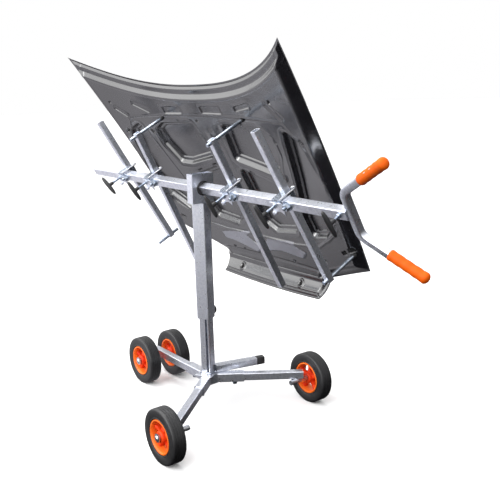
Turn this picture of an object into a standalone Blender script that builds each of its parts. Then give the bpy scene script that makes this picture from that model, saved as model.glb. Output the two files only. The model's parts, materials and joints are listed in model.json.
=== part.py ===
"""Wheeled body-panel stand holding a car bonnet.

World axes: +X along the crossbar towards the pushing handle, +Z up, +Y away from the clamp screws.
The model stands on the plane Z = 0 and its origin is the middle of its footprint box.
Lengths are in metres.
"""
import math

import bmesh
import bpy
from mathutils import Matrix, Vector

# ---- driving dimensions -------------------------------------------------------------------------
GAP = 0.0003                  # clearance between faces that touch
SLIDE = 0.0006                # clearance of a sliding fit, each side

WHEEL_DIAMETER = 0.200
WHEEL_WIDTH = 0.052
RIM_DIAMETER = 0.128
AXLE_DIAMETER = 0.020
AXLE_HEAD = 0.032             # washer heads on the axle
AXLE_HEAD_THICKNESS = 0.003
AXLE_NOSE = 0.005             # axle beyond its head's outer face
AXLE_BEYOND = 0.012           # axle end beyond the wheel
AXLE_INBOARD = 0.050          # axle inboard of the leg's middle
TYRE_SHOULDER = 0.0045
RIM_LIP = 0.004
RIM_THICKNESS = 0.009
HUB_WALL = 0.008
SPOKE_WIDTH = 0.013
SPOKE_INSET = 0.009           # spoke's face below the hub's face
SPOKES = 5
REAR_WHEELS = {               # name: each rear wheel's middle from the rear leg's middle
    "outer": -0.0655,
    "inner": 0.0795,
}

LEG_TUBE = 0.030              # square tube, outside
LEG_WALL = 0.002
SLEEVE_WALL = 0.0025
SLEEVE_END = 0.140            # radius at which the sleeves stop
HUB_RADIUS = 0.036            # radius at which the sleeves start
LEGS = {                      # name: (azimuth in degrees, reach of the leg's end)
    "front_left": (-49.4, 0.441),
    "front_right": (54.0, 0.376),
    "rear": (180.0, 0.412),
}
FRONT_WHEEL_GAPS = {          # leg's side to the wheel's face
    "front_left": 0.0055,
    "front_right": 0.014,
}
LEG_SCREW_RADIUS = 0.103      # where the leg screws sit under the sleeves
LEG_SCREW_DIAMETER = 0.008
LEG_SCREW_HEAD = 0.018
LEG_SCREW_HEIGHT = 0.013
LEG_INSET = 0.006             # inner end of a leg from the inner end of its sleeve
AXLE_INSET = 0.012            # axle from the leg's end

SIDE_ARM_AZIMUTH = 76.0
SIDE_ARM_REACH = 0.205
PLUG_LENGTH = 0.034
PLUG_TONGUE = 0.018

POST_TURN = 27.0              # turn of the post's faces about Z
INNER_POST = 0.042
OUTER_POST = 0.053
POST_WALL = 0.003
OUTER_POST_BOTTOM = 0.374
INNER_POST_BELOW_HEAD = 0.060 # inner post's top below the head at rest
SLOT_WIDTH = 0.009
SLOT_LENGTH = 0.330
SLOT_OFFSET = 0.0095          # slot from the middle of its face
SLOT_ABOVE_HUB = 0.010
GUIDE_LENGTH = 0.039
GUIDE_INSET = 0.001
KNOB_ABOVE_END = 0.020        # lock knob above the outer post's lower end
KNOB_PIN = 0.010
KNOB_DIAMETER = 0.042
KNOB_HEIGHT = 0.031
AXIS_HEIGHT = 0.886           # crossbar's axis above the floor
HEAD_THICKNESS = 0.038        # along the crossbar
HEAD_WIDTH = 0.098
HEAD_HEIGHT = 0.111
BUSH_WALL = 0.0047            # plastic outside the crossbar's corners

BUSH_LENGTH = 0.009
BUSH_INSIDE = 0.002           # bush's inner end inside the head's wall

TILT = 27.3                   # turn of the crossbar and panel about X at rest
CROSSBAR = 0.033
CROSSBAR_WALL = 0.0025
CROSSBAR_LEFT = -0.866
CROSSBAR_RIGHT = 0.793
ARM_TUBE = 0.025
ARM_WALL = 0.002
CLAMP_WALL = 0.004
CLAMP_LENGTH = 0.046
ROD_DIAMETER = 0.014
ARMS = {                      # name: (place on the crossbar, swing in degrees, top end, bottom end)
    "spare": (-0.590, -9.0, 0.250, -0.350),
    "left": (-0.362, 5.0, 0.206, -0.450),
    "middle": (0.187, 0.0, 0.204, -0.452),
    "right": (0.481, -4.0, 0.252, -0.352),
}
RODS = {                      # name: (end of the arm, near end, far end)
    "spare": (-1, -0.040, 0.072),
    "left": (1, -0.010, 0.152),
    "middle": (1, 0.002, 0.168),
    "right": (-1, 0.002, 0.158),
}
ROD_INSET = 0.0095             # rod's axis from the arm's end
TIP_LENGTH = 0.018
TIP_DIAMETER = 0.017

T_SCREW_DIAMETER = 0.010
T_BAR_LENGTH = 0.095
T_BAR_DIAMETER = 0.017
T_STANDOFF = 0.069            # clamp face to the middle of the T
T_SHIFTS = {"spare": -0.014, "left": -0.013, "middle": -0.004, "right": -0.010}
T_TURNS = {"spare": 29.0, "left": 18.0, "middle": 6.0, "right": 12.0}

HANDLE_TUBE = 0.025
HANDLE_BEND_HEIGHT = 0.078
HANDLE_SPLAY = 30.0
HANDLE_ARM = 0.230
HANDLE_BEND_RADIUS = 0.035
GRIP_DIAMETER = 0.036
GRIP_LENGTH = 0.128
GRIP_DOME = 0.010             # grip beyond the tube's end
SPIGOT_WALL = 0.003
SPIGOT_LENGTH = 0.110
HANDLE_SCREW_X = 0.764
HANDLE_SCREW_STANDOFF = 0.046

BONNET_X = -0.083             # bonnet's middle line on the crossbar
SHEET = 0.0012
REAR_HALF = 0.720
FRONT_HALF = 0.611
NOSE_HALF = 0.343
LIP_HALF = 0.319
REAR_MIDDLE_UP = 0.324
REAR_CORNER_UP = 0.515
WING_UP = -0.426
NOTCH_UP = -0.535
LIP_UP = -0.587
REAR_MIDDLE_OUT = 0.202
REAR_CROWN = 0.086
FRONT_MIDDLE_OUT = 0.215
FRONT_CROWN = 0.025
LIP_OUT = 0.125
PANEL_DEPTH = 0.014           # inner frame below the outer skin
FRAME_MARGIN = 0.91           # inner frame's outer edge, as a share of the skin's half width
FRAME_REAR = 0.035            # inner frame's rear edge, as a share of the way to the front
FRAME_FRONT = 0.955
WINDOW_TOP = 0.158            # windows' upper edge, up the panel from the crossbar's axis
WINDOW_BOTTOM = -0.330
SPINE_HALF = 0.074            # half width of the frame's spine
RIB_INSIDE = (0.392, 0.272)   # slanting rib's inner edge at the windows' top and bottom
RIB_OUTSIDE = (0.500, 0.360)
SIDE_INSIDE = 0.585           # side member's inner edge
CROSS_TOP = (0.006, -0.046)   # cross rib's upper edge at the spine and at the slanting rib
CROSS_WIDTH = 0.050
FRAME_COLUMNS = (1, 5, 1, 2)  # cells in the spine's half, a window, a rib and a side window
FRAME_ROWS = (4, 1, 6)        # cells above the cross rib, on it and below it
REAR_BEAM_ROWS = 4
FRONT_BEAM_ROWS = 3

ZINC = ("zinc", (0.62, 0.65, 0.69), 0.34, 0.95)
ZINC_BLUE = ("zinc_blue", (0.50, 0.57, 0.66), 0.30, 0.95)
RUBBER = ("rubber", (0.028, 0.028, 0.030), 0.75, 0.0)
ORANGE = ("orange_plastic", (0.95, 0.17, 0.01), 0.40, 0.0)
RIM_ORANGE = ("rim_plastic", (0.90, 0.10, 0.02), 0.40, 0.0)
BLACK = ("black_plastic", (0.03, 0.03, 0.032), 0.45, 0.0)
PRIMER = ("primer", (0.10, 0.10, 0.115), 0.35, 0.30)
STEEL = ("bright_steel", (0.72, 0.72, 0.73), 0.25, 1.0)

SLEEVE_TUBE = LEG_TUBE + 2 * (SLIDE + SLEEVE_WALL)
LEG_HEIGHT = WHEEL_DIAMETER / 2 + AXLE_DIAMETER / 2 + LEG_TUBE / 2 + GAP
HUB_TOP = LEG_HEIGHT + SLEEVE_TUBE / 2
BUSH_DIAMETER = CROSSBAR * math.sqrt(2) + 2 * BUSH_WALL


# ---- helpers ------------------------------------------------------------------------------------
def clear_scene():
    for item in list(bpy.data.objects):
        bpy.data.objects.remove(item, do_unlink=True)


def material(spec):
    name, colour, roughness, metallic = spec
    found = bpy.data.materials.get(name)
    if found:
        return found
    made = bpy.data.materials.new(name)
    made.use_nodes = True
    shader = made.node_tree.nodes["Principled BSDF"]
    shader.inputs["Base Color"].default_value = (*colour, 1.0)
    shader.inputs["Roughness"].default_value = roughness
    shader.inputs["Metallic"].default_value = metallic
    return made


def empty(name, parent, location=(0, 0, 0), rotation=(0, 0, 0)):
    item = bpy.data.objects.new(name, None)
    item.empty_display_size = 0.05
    bpy.context.collection.objects.link(item)
    item.parent = parent
    item.location = location
    item.rotation_euler = [math.radians(angle) for angle in rotation]
    return item


def finish_mesh(name, shape, smooth=False):
    bmesh.ops.recalc_face_normals(shape, faces=shape.faces)
    data = bpy.data.meshes.new(name)
    shape.to_mesh(data)
    shape.free()
    if smooth:
        data.shade_smooth()
        data.set_sharp_from_angle(angle=math.radians(35))
    return data


def add(name, data, spec, parent, location=(0, 0, 0), rotation=(0, 0, 0)):
    item = bpy.data.objects.new(name, data)
    if spec and not data.materials:
        data.materials.append(material(spec))
    bpy.context.collection.objects.link(item)
    item.parent = parent
    item.location = location
    item.rotation_euler = [math.radians(angle) for angle in rotation]
    return item


def boolean(item, data, operation, parent, location=(0, 0, 0), rotation=(0, 0, 0)):
    """Cut or join item with a hidden helper placed under the same parent."""
    helper = add(f"{item.name}.{operation.lower()}{len(item.modifiers)}", data, None, parent, location,
                 rotation)
    helper.hide_render = True
    helper.display_type = "WIRE"
    step = item.modifiers.new(operation.lower(), "BOOLEAN")
    step.operation = operation
    step.solver = "EXACT"
    step.object = helper
    return helper


def rounded_square(size, radius, segments=3, size_y=None):
    """Points of a rounded rectangle around the origin, anticlockwise."""
    half_x = size / 2 - radius
    half_y = (size if size_y is None else size_y) / 2 - radius
    points = []
    for corner, (sx, sy) in enumerate(((1, 1), (-1, 1), (-1, -1), (1, -1))):
        for step in range(segments + 1):
            angle = math.pi / 2 * (corner + step / segments)
            points.append((sx * half_x + radius * math.cos(angle),
                           sy * half_y + radius * math.sin(angle)))
    return points


def circle(diameter, segments=20):
    turn = 2 * math.pi / segments
    return [(diameter / 2 * math.cos(turn * i), diameter / 2 * math.sin(turn * i))
            for i in range(segments)]


def sweep(name, outer, inner, frames, smooth=True):
    """Carry a closed outline, with an optional hole of as many points, through 4x4 frames."""
    shape = bmesh.new()

    def rings(outline):
        return [[shape.verts.new(frame @ Vector((x, y, 0))) for x, y in outline] for frame in frames]

    def skin(loops, flip):
        count = len(loops[0])
        for lower, upper in zip(loops, loops[1:]):
            for i in range(count):
                j = (i + 1) % count
                quad = (lower[i], lower[j], upper[j], upper[i])
                shape.faces.new(quad[::-1] if flip else quad)

    outside = rings(outer)
    skin(outside, False)
    if inner:
        inside = rings(inner)
        skin(inside, True)
        for end, flip in ((0, True), (-1, False)):
            count = len(outer)
            for i in range(count):
                j = (i + 1) % count
                quad = (outside[end][i], outside[end][j], inside[end][j], inside[end][i])
                shape.faces.new(quad[::-1] if flip else quad)
    else:
        shape.faces.new(outside[0][::-1])
        shape.faces.new(outside[-1])
    return finish_mesh(name, shape, smooth)


def straight(start, end):
    return [Matrix.Translation((0, 0, start)), Matrix.Translation((0, 0, end))]


def bar(name, outline, start, end):
    """A solid bar along Z."""
    return sweep(name, outline, None, straight(start, end))


def square_tube(name, size, wall, start, end, radius=0.003):
    """A hollow square tube along Z."""
    outer = rounded_square(size, radius)
    inner = rounded_square(size - 2 * wall, max(radius - wall, 0.0004))
    return sweep(name, outer, inner, straight(start, end))


def block(name, size, middle=(0, 0, 0)):
    shape = bmesh.new()
    bmesh.ops.create_cube(shape, size=1.0)
    bmesh.ops.scale(shape, vec=size, verts=shape.verts)
    bmesh.ops.translate(shape, vec=middle, verts=shape.verts)
    return finish_mesh(name, shape)


def turned(name, profile, segments=32, ring=False):
    """Turn (radius, height) points about Z; a ring's profile is a closed loop off the axis."""
    shape = bmesh.new()
    loops = []
    for radius, height in profile:
        if radius <= 0:
            loops.append([shape.verts.new((0, 0, height))])
            continue
        loops.append([shape.verts.new((radius * math.cos(2 * math.pi * i / segments),
                                       radius * math.sin(2 * math.pi * i / segments), height))
                      for i in range(segments)])
    pairs = list(zip(loops, loops[1:]))
    if ring:
        pairs.append((loops[-1], loops[0]))
    for lower, upper in pairs:
        for i in range(segments):
            j = (i + 1) % segments
            if len(lower) == 1:
                shape.faces.new((lower[0], upper[i], upper[j]))
            elif len(upper) == 1:
                shape.faces.new((lower[i], upper[0], lower[j]))
            else:
                shape.faces.new((lower[i], upper[i], upper[j], lower[j]))
    return finish_mesh(name, shape, smooth=True)


# ---- wheels -------------------------------------------------------------------------------------
def tyre_mesh():
    outer = WHEEL_DIAMETER / 2
    inner = RIM_DIAMETER / 2
    half = WHEEL_WIDTH / 2
    crown = TYRE_SHOULDER * 5 / 3
    middle = TYRE_SHOULDER * 2 / 3
    drop = TYRE_SHOULDER / 4
    upper = [(outer, half - crown), (outer - drop, half - middle), (outer - TYRE_SHOULDER, half),
             (inner + middle, half), (inner, half - TYRE_SHOULDER / 2)]
    profile = [(radius, -height) for radius, height in reversed(upper)] + upper
    return turned("tyre", profile, segments=32, ring=True)


def rim_mesh_parts():
    outer = RIM_DIAMETER / 2 - GAP
    half = WHEEL_WIDTH / 2
    inside = outer - RIM_THICKNESS
    upper = [(outer, half - RIM_LIP * 3 / 4), (outer - RIM_LIP, half - RIM_LIP / 4),
             (inside, half - RIM_LIP)]
    ring = [(radius, -height) for radius, height in reversed(upper)] + upper
    bore = AXLE_DIAMETER / 2 + SLIDE
    hub = [(bore, -half), (bore, half), (bore + HUB_WALL, half), (bore + HUB_WALL, -half)]
    return turned("rim", ring, 24, ring=True), turned("rim_hub", hub, 16, ring=True)


def spokes_mesh():
    shape = bmesh.new()
    inner = AXLE_DIAMETER / 2 + SLIDE + HUB_WALL / 2
    outer = RIM_DIAMETER / 2 - RIM_THICKNESS * 2 / 3
    for index in range(SPOKES):
        made = bmesh.ops.create_cube(shape, size=1.0)["verts"]
        bmesh.ops.scale(shape, vec=(outer - inner, SPOKE_WIDTH, WHEEL_WIDTH - 2 * SPOKE_INSET), verts=made)
        bmesh.ops.translate(shape, vec=((outer + inner) / 2, 0, 0), verts=made)
        turn = Matrix.Rotation(2 * math.pi * index / SPOKES, 3, "Z")
        bmesh.ops.rotate(shape, cent=(0, 0, 0), matrix=turn, verts=made)
    return finish_mesh("spokes", shape)


def add_wheel(name, parent, location):
    """A wheel whose axis is Y, on an empty at its centre."""
    centre = empty(f"wheel_{name}", parent, location, (90, 0, 0))
    add(f"tyre_{name}", tyre_mesh(), RUBBER, centre)
    ring, hub = rim_mesh_parts()
    rim = add(f"rim_{name}", ring, RIM_ORANGE, centre)
    boolean(rim, spokes_mesh(), "UNION", centre)
    boolean(rim, hub, "UNION", centre)


def axle_mesh(name, start, end, caps):
    """A round axle along Z with a washer head at each capped end."""
    radius = AXLE_DIAMETER / 2
    seat = AXLE_NOSE + AXLE_HEAD_THICKNESS
    cap = [(radius * 0.7, 0), (radius, AXLE_NOSE * 0.8), (AXLE_HEAD / 2, AXLE_NOSE),
           (AXLE_HEAD / 2, seat), (radius, seat)]
    profile = [(0, start)]
    if caps[0]:
        profile += [(r, start + inward) for r, inward in cap]
    else:
        profile.append((radius, start))
    if caps[1]:
        profile += [(r, end - inward) for r, inward in reversed(cap)]
    else:
        profile.append((radius, end))
    profile.append((0, end))
    return turned(name, profile, 16)


# ---- base ---------------------------------------------------------------------------------------
def add_base(root):
    add("base_hub", hub_mesh(), ZINC, root)
    for name, (azimuth, reach) in LEGS.items():
        add_leg(root, name, azimuth, reach)
    add_side_arm(root)


def hub_mesh():
    """Six-sided block with a face square to each leg."""
    corners = []
    angles = sorted(azimuth % 360 for azimuth, _ in LEGS.values())
    side = SLEEVE_TUBE / 2
    for angle in angles:
        turn = math.radians(angle)
        for along, across in ((HUB_RADIUS - GAP, -side), (HUB_RADIUS - GAP, side)):
            corners.append((along * math.cos(turn) - across * math.sin(turn),
                            along * math.sin(turn) + across * math.cos(turn)))
    return bar("base_hub", corners, LEG_HEIGHT - SLEEVE_TUBE / 2, HUB_TOP)


def add_leg(root, name, azimuth, reach):
    fixed = empty(f"sleeve_frame_{name}", root, (0, 0, LEG_HEIGHT), (0, 0, azimuth))
    sleeve = add(f"leg_sleeve_{name}",
                 square_tube("leg_sleeve", SLEEVE_TUBE, SLEEVE_WALL, HUB_RADIUS, SLEEVE_END),
                 ZINC, fixed, rotation=(0, 90, 0))
    hole = bar("screw_hole", circle(LEG_SCREW_DIAMETER + 2 * GAP, 16), -SLEEVE_TUBE / 2 - SLEEVE_WALL,
               -LEG_TUBE / 2 - GAP / 3)
    boolean(sleeve, hole, "DIFFERENCE", fixed, (LEG_SCREW_RADIUS, 0, 0))
    top = -LEG_TUBE / 2 - GAP
    under = -SLEEVE_TUBE / 2 - GAP
    shank = LEG_SCREW_DIAMETER / 2
    head = LEG_SCREW_HEAD / 2
    bottom = under - LEG_SCREW_HEIGHT
    screw = [(0, top), (shank, top), (shank, under), (shank * 1.5, under), (head, under - 0.002),
             (head, bottom + 0.002), (head - 0.002, bottom), (0, bottom)]
    add(f"leg_screw_{name}", turned("leg_screw", screw, 12), ZINC_BLUE, fixed, (LEG_SCREW_RADIUS, 0, 0))

    slide = empty(f"leg_slide_{name}", root, (0, 0, LEG_HEIGHT), (0, 0, azimuth))
    add(f"leg_tube_{name}", square_tube("leg_tube", LEG_TUBE, LEG_WALL, HUB_RADIUS + LEG_INSET, reach),
        ZINC, slide, rotation=(0, 90, 0))
    turn = math.radians(azimuth)
    drop = WHEEL_DIAMETER / 2 - LEG_HEIGHT
    carrier = empty(f"axle_frame_{name}", slide, (0, 0, drop), (0, 0, -azimuth))
    carrier.location.x = reach - AXLE_INSET
    if name == "rear":
        beyond = WHEEL_WIDTH / 2 + AXLE_BEYOND
        start = -REAR_WHEELS["inner"] - beyond
        end = beyond - REAR_WHEELS["outer"]
        add("axle_rear", axle_mesh("axle_rear", start, end, (True, True)), STEEL, carrier,
            rotation=(90, 0, 0))
        for side, place in REAR_WHEELS.items():
            add_wheel(f"rear_{side}", carrier, (0, place, 0))
        return
    sign = 1 if math.sin(turn) > 0 else -1
    wheel_reach = FRONT_WHEEL_GAPS[name] + WHEEL_WIDTH / 2 + LEG_TUBE / 2
    end = wheel_reach + WHEEL_WIDTH / 2 + AXLE_BEYOND
    data = axle_mesh(f"axle_{name}", -AXLE_INBOARD, end, (False, True))
    add(f"axle_{name}", data, STEEL, carrier, rotation=(-90 * sign, 0, 0))
    add_wheel(name, carrier, (0, sign * wheel_reach, 0))


def add_side_arm(root):
    height = HUB_TOP + GAP + LEG_TUBE / 2
    frame = empty("side_arm_frame", root, (0, 0, height), (0, 0, SIDE_ARM_AZIMUTH))
    start = INNER_POST * math.sqrt(0.5) + GAP
    add("side_arm", square_tube("side_arm", LEG_TUBE, LEG_WALL, start, SIDE_ARM_REACH), ZINC, frame,
        rotation=(0, 90, 0))
    inside = LEG_TUBE - 2 * LEG_WALL - 2 * GAP
    plug = add("side_arm_plug", bar("side_arm_plug", rounded_square(LEG_TUBE, 0.003), GAP, PLUG_LENGTH),
               BLACK, frame, (SIDE_ARM_REACH, 0, 0), (0, 90, 0))
    tongue = bar("plug_tongue", rounded_square(inside, 0.001), -PLUG_TONGUE, PLUG_LENGTH / 2)
    boolean(plug, tongue, "UNION", frame, (SIDE_ARM_REACH, 0, 0), (0, 90, 0))


# ---- post ---------------------------------------------------------------------------------------
def add_post(root):
    bottom = HUB_TOP + GAP
    top = AXIS_HEIGHT - HEAD_HEIGHT / 2 - INNER_POST_BELOW_HEAD
    inner = add("inner_post", square_tube("inner_post", INNER_POST, POST_WALL, bottom, top, 0.004),
                ZINC, root, rotation=(0, 0, POST_TURN))
    slot = block("slot", (SLOT_WIDTH, 2 * POST_WALL + 0.002, SLOT_LENGTH),
                 (SLOT_OFFSET, -INNER_POST / 2, bottom + SLOT_ABOVE_HUB + SLOT_LENGTH / 2))
    boolean(inner, slot, "DIFFERENCE", root, rotation=(0, 0, POST_TURN))

    slide = empty("post_slide", root)
    end = AXIS_HEIGHT - HEAD_HEIGHT / 2 - GAP
    outer = add("outer_post", square_tube("outer_post", OUTER_POST, POST_WALL, OUTER_POST_BOTTOM, end,
                                          0.004),
                ZINC, slide, rotation=(0, 0, POST_TURN))
    clear = OUTER_POST - 2 * POST_WALL - 2 * GAP
    guide = square_tube("post_guide", clear, (clear - INNER_POST - 2 * SLIDE) / 2,
                        OUTER_POST_BOTTOM + GUIDE_INSET, OUTER_POST_BOTTOM + GUIDE_INSET + GUIDE_LENGTH,
                        0.0012)
    guide_item = add("post_guide", guide, BLACK, slide, rotation=(0, 0, POST_TURN))
    knob_height = OUTER_POST_BOTTOM + KNOB_ABOVE_END
    for item in (outer, guide_item):
        hole = bar("lock_hole", circle(KNOB_PIN + 2 * GAP, 16), INNER_POST / 2 + GAP,
                   OUTER_POST / 2 + POST_WALL)
        boolean(item, hole, "DIFFERENCE", slide, (0, 0, knob_height), (-90, 0, POST_TURN))
    face = OUTER_POST / 2 + GAP
    tip = INNER_POST / 2 + SLIDE
    pin = KNOB_PIN / 2
    grip = KNOB_DIAMETER / 2
    top = face + KNOB_HEIGHT
    knob = [(0, tip), (pin, tip), (pin, face), (grip * 0.45, face), (grip * 0.45, face + 0.006),
            (grip * 0.85, face + 0.008), (grip, face + 0.014), (grip, top - 0.007),
            (grip * 0.8, top - 0.001), (0, top)]
    add("post_lock_knob", turned("post_lock_knob", knob, 16), BLACK, slide, (0, 0, knob_height),
        (-90, 0, POST_TURN))
    add_head(slide)
    return slide


def add_head(slide):
    outer = rounded_square(HEAD_THICKNESS, 0.003, 3, HEAD_WIDTH)
    inner = rounded_square(HEAD_THICKNESS - 2 * POST_WALL, 0.0005, 3, HEAD_WIDTH - 2 * POST_WALL)
    low = AXIS_HEIGHT - HEAD_HEIGHT / 2
    head = add("head_housing", sweep("head_housing", outer, inner, straight(low, low + HEAD_HEIGHT)),
               ZINC, slide)
    bore = bar("bush_bore", circle(BUSH_DIAMETER, 32), -HEAD_THICKNESS, HEAD_THICKNESS)
    boolean(head, bore, "DIFFERENCE", slide, (0, 0, AXIS_HEIGHT), (0, 90, 0))


# ---- tilting frame: local X along the crossbar, Y out to the panel, Z up the panel ---------------
def add_crossbar(tilt):
    tube = square_tube("crossbar", CROSSBAR, CROSSBAR_WALL, CROSSBAR_LEFT, CROSSBAR_RIGHT)
    crossbar = add("crossbar", tube, ZINC, tilt, rotation=(0, 90, 0))
    hole = bar("handle_screw_hole", circle(T_SCREW_DIAMETER + 2 * SLIDE, 16),
               CROSSBAR / 2 - 2 * CROSSBAR_WALL, CROSSBAR / 2 + CROSSBAR_WALL)
    boolean(crossbar, hole, "DIFFERENCE", tilt, (HANDLE_SCREW_X, 0, 0), (90, 0, 0))
    hole_size = CROSSBAR + 2 * GAP
    for side, sign in (("left", -1), ("right", 1)):
        start = HEAD_THICKNESS / 2 - POST_WALL - BUSH_INSIDE
        bush = add(f"head_bush_{side}",
                   bar("head_bush", circle(BUSH_DIAMETER - 2 * GAP, 32), start, start + BUSH_LENGTH),
                   BLACK, tilt, rotation=(0, 90 * sign, 0))
        boolean(bush, block("bush_square", (hole_size, hole_size, 0.09)), "DIFFERENCE", tilt,
                rotation=(0, 90, 0))


def t_screw_mesh(name, tip, seat, middle):
    """Stud along Z from tip to middle, with a T bar across its end."""
    radius = T_SCREW_DIAMETER / 2
    stud = [(0, tip), (radius, tip), (radius, seat), (0.009, seat), (0.009, seat + 0.008),
            (radius, seat + 0.008), (radius, middle - 0.022), (0.0075, middle - 0.018),
            (0.0075, middle), (0, middle)]
    half = T_BAR_LENGTH / 2
    thick = T_BAR_DIAMETER / 2
    ends = [(0, -half), (thick * 0.55, -half + 0.002), (thick * 0.8, -half + 0.010),
            (thick, -half * 0.35), (thick, half * 0.35), (thick * 0.8, half - 0.010),
            (thick * 0.55, half - 0.002), (0, half)]
    return turned(name, stud, 12), turned(f"{name}_bar", ends, 12)


def add_t_screw(name, parent, location, tip, seat, middle, turn):
    """A T screw that points to local -Y."""
    stud, grip = t_screw_mesh(name, tip, seat, middle)
    holder = empty(f"{name}_axis", parent, location, (90, 0, 0))
    screw = add(name, stud, BLACK, holder)
    boolean(screw, grip, "UNION", holder, (0, 0, middle), (90, 0, turn))


def add_arm(tilt, name, place, swing, top, bottom):
    """One clamp, its screw, the arm that it holds and the rod at the arm's end."""
    clamp_frame = empty(f"clamp_frame_{name}", tilt, (place, 0, 0))
    offset = CROSSBAR / 2 + GAP + ARM_TUBE / 2
    near = CROSSBAR / 2 + CLAMP_WALL
    far = offset + ARM_TUBE / 2 + CLAMP_WALL
    high = CROSSBAR / 2 + CLAMP_WALL
    body = add(f"clamp_{name}", bar("clamp", rounded_square(CLAMP_LENGTH, 0.003, 3, near + far),
                                    -high, high),
               ZINC_BLUE, clamp_frame, (0, (far - near) / 2, 0))
    width = CROSSBAR + 2 * SLIDE
    channel = block("crossbar_channel", (CLAMP_LENGTH * 2, width, width))
    boolean(body, channel, "DIFFERENCE", clamp_frame)
    arm_width = ARM_TUBE + 2 * SLIDE
    arm_channel = block("arm_channel", (arm_width, arm_width, high * 4))
    boolean(body, arm_channel, "DIFFERENCE", clamp_frame, (0, offset, 0), (0, swing, 0))
    hole = bar("clamp_screw_hole", circle(T_SCREW_DIAMETER + 2 * SLIDE, 16), CROSSBAR / 2 - CLAMP_WALL,
               near + CLAMP_WALL)
    shift = T_SHIFTS[name]
    boolean(body, hole, "DIFFERENCE", clamp_frame, (shift, 0, 0), (90, 0, 0))
    add_t_screw(f"t_screw_{name}", clamp_frame, (shift, 0, 0), CROSSBAR / 2 + GAP, near + GAP,
                near + T_STANDOFF, T_TURNS[name])

    arm_frame = empty(f"arm_frame_{name}", clamp_frame, (0, offset, 0), (0, swing, 0))
    arm = add(f"arm_{name}", square_tube("arm", ARM_TUBE, ARM_WALL, bottom, top, 0.0025), ZINC,
              arm_frame)
    end, rod_near, rod_far = RODS[name]
    height = top - ROD_INSET if end > 0 else bottom + ROD_INSET
    hole = bar("rod_hole", circle(ROD_DIAMETER + 2 * GAP, 16), -ARM_TUBE, ARM_TUBE)
    boolean(arm, hole, "DIFFERENCE", arm_frame, (0, 0, height), (90, 0, 0))
    start = rod_near - offset
    rod_end = rod_far - offset
    add(f"hook_rod_{name}", bar("hook_rod", circle(ROD_DIAMETER, 14), -rod_end, -start), ZINC_BLUE,
        arm_frame, (0, 0, height), (90, 0, 0))
    if name != "spare":
        radius = TIP_DIAMETER / 2
        tip = [(0, GAP), (radius - 0.001, GAP), (radius, 0.004), (radius, TIP_LENGTH - 0.005),
               (radius * 0.7, TIP_LENGTH), (0, TIP_LENGTH)]
        add(f"hook_tip_{name}", turned("hook_tip", tip, 16), RUBBER, arm_frame, (0, rod_end, height),
            (-90, 0, 0))


def handle_frames():
    """Frames along the bent handle tube, in the local X-Z plane, from the upper end down."""
    splay = math.radians(HANDLE_SPLAY)
    half = HANDLE_TUBE / 2
    middle = CROSSBAR_RIGHT + GAP + half
    path = [(middle + HANDLE_ARM * math.cos(splay), HANDLE_BEND_HEIGHT + HANDLE_ARM * math.sin(splay))]
    turn = math.pi / 2 - splay
    setback = HANDLE_BEND_RADIUS * math.tan(turn / 2)
    centre = (middle + HANDLE_BEND_RADIUS, HANDLE_BEND_HEIGHT - setback)
    steps = 4
    for step in range(steps + 1):
        angle = math.pi - turn * (1 - step / steps)
        path.append((centre[0] + HANDLE_BEND_RADIUS * math.cos(angle),
                     centre[1] + HANDLE_BEND_RADIUS * math.sin(angle)))
    path += [(x, -z) for x, z in reversed(path)]
    frames = []
    for index, (x, z) in enumerate(path):
        before = Vector(path[max(index - 1, 0)])
        after = Vector(path[min(index + 1, len(path) - 1)])
        along = (after - before).normalized()
        direction = Vector((along.x, 0, along.y))
        side = Vector((0, 1, 0))
        across = side.cross(direction)
        basis = Matrix((across, side, direction)).transposed().to_4x4()
        frames.append(Matrix.Translation((x, 0, z)) @ basis)
    return frames, middle, splay


def add_handle(tilt):
    frames, middle, splay = handle_frames()
    outer = rounded_square(HANDLE_TUBE, 0.003, 2)
    inner = rounded_square(HANDLE_TUBE - 2 * ARM_WALL, 0.001, 2)
    add("handle_bar", sweep("handle_bar", outer, inner, frames), ZINC, tilt)
    inside = CROSSBAR - 2 * CROSSBAR_WALL - 2 * SLIDE
    add("handle_spigot", square_tube("handle_spigot", inside, SPIGOT_WALL, CROSSBAR_RIGHT - SPIGOT_LENGTH,
                                     CROSSBAR_RIGHT, 0.001),
        ZINC, tilt, rotation=(0, 90, 0))
    for side, sign in (("upper", 1), ("lower", -1)):
        tube_end = Vector((middle + HANDLE_ARM * math.cos(splay), 0,
                           sign * (HANDLE_BEND_HEIGHT + HANDLE_ARM * math.sin(splay))))
        tilt_angle = 90 - sign * HANDLE_SPLAY
        radius = GRIP_DIAMETER / 2
        start = GRIP_DOME - GRIP_LENGTH
        profile = [(0, start), (radius * 0.9, start), (radius, start + 0.004),
                   (radius * 0.96, start + GRIP_LENGTH / 4), (radius, -GRIP_LENGTH / 4),
                   (radius, -GRIP_DOME * 0.4), (radius * 0.88, GRIP_DOME / 2),
                   (radius * 0.6, GRIP_DOME * 0.92), (0, GRIP_DOME)]
        grip = add(f"grip_{side}", turned("grip", profile, 20), ORANGE, tilt, tube_end,
                   (0, tilt_angle, 0))
        pocket = HANDLE_TUBE + 2 * GAP
        cavity = bar("grip_cavity", rounded_square(pocket, 0.003), start - 0.01, GAP)
        boolean(grip, cavity, "DIFFERENCE", tilt, tube_end, (0, tilt_angle, 0))
    spigot_face = inside / 2
    add_t_screw("t_screw_handle", tilt, (HANDLE_SCREW_X, 0, 0), spigot_face + GAP, CROSSBAR / 2 + GAP,
                CROSSBAR / 2 + HANDLE_SCREW_STANDOFF, 10.0)


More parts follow.
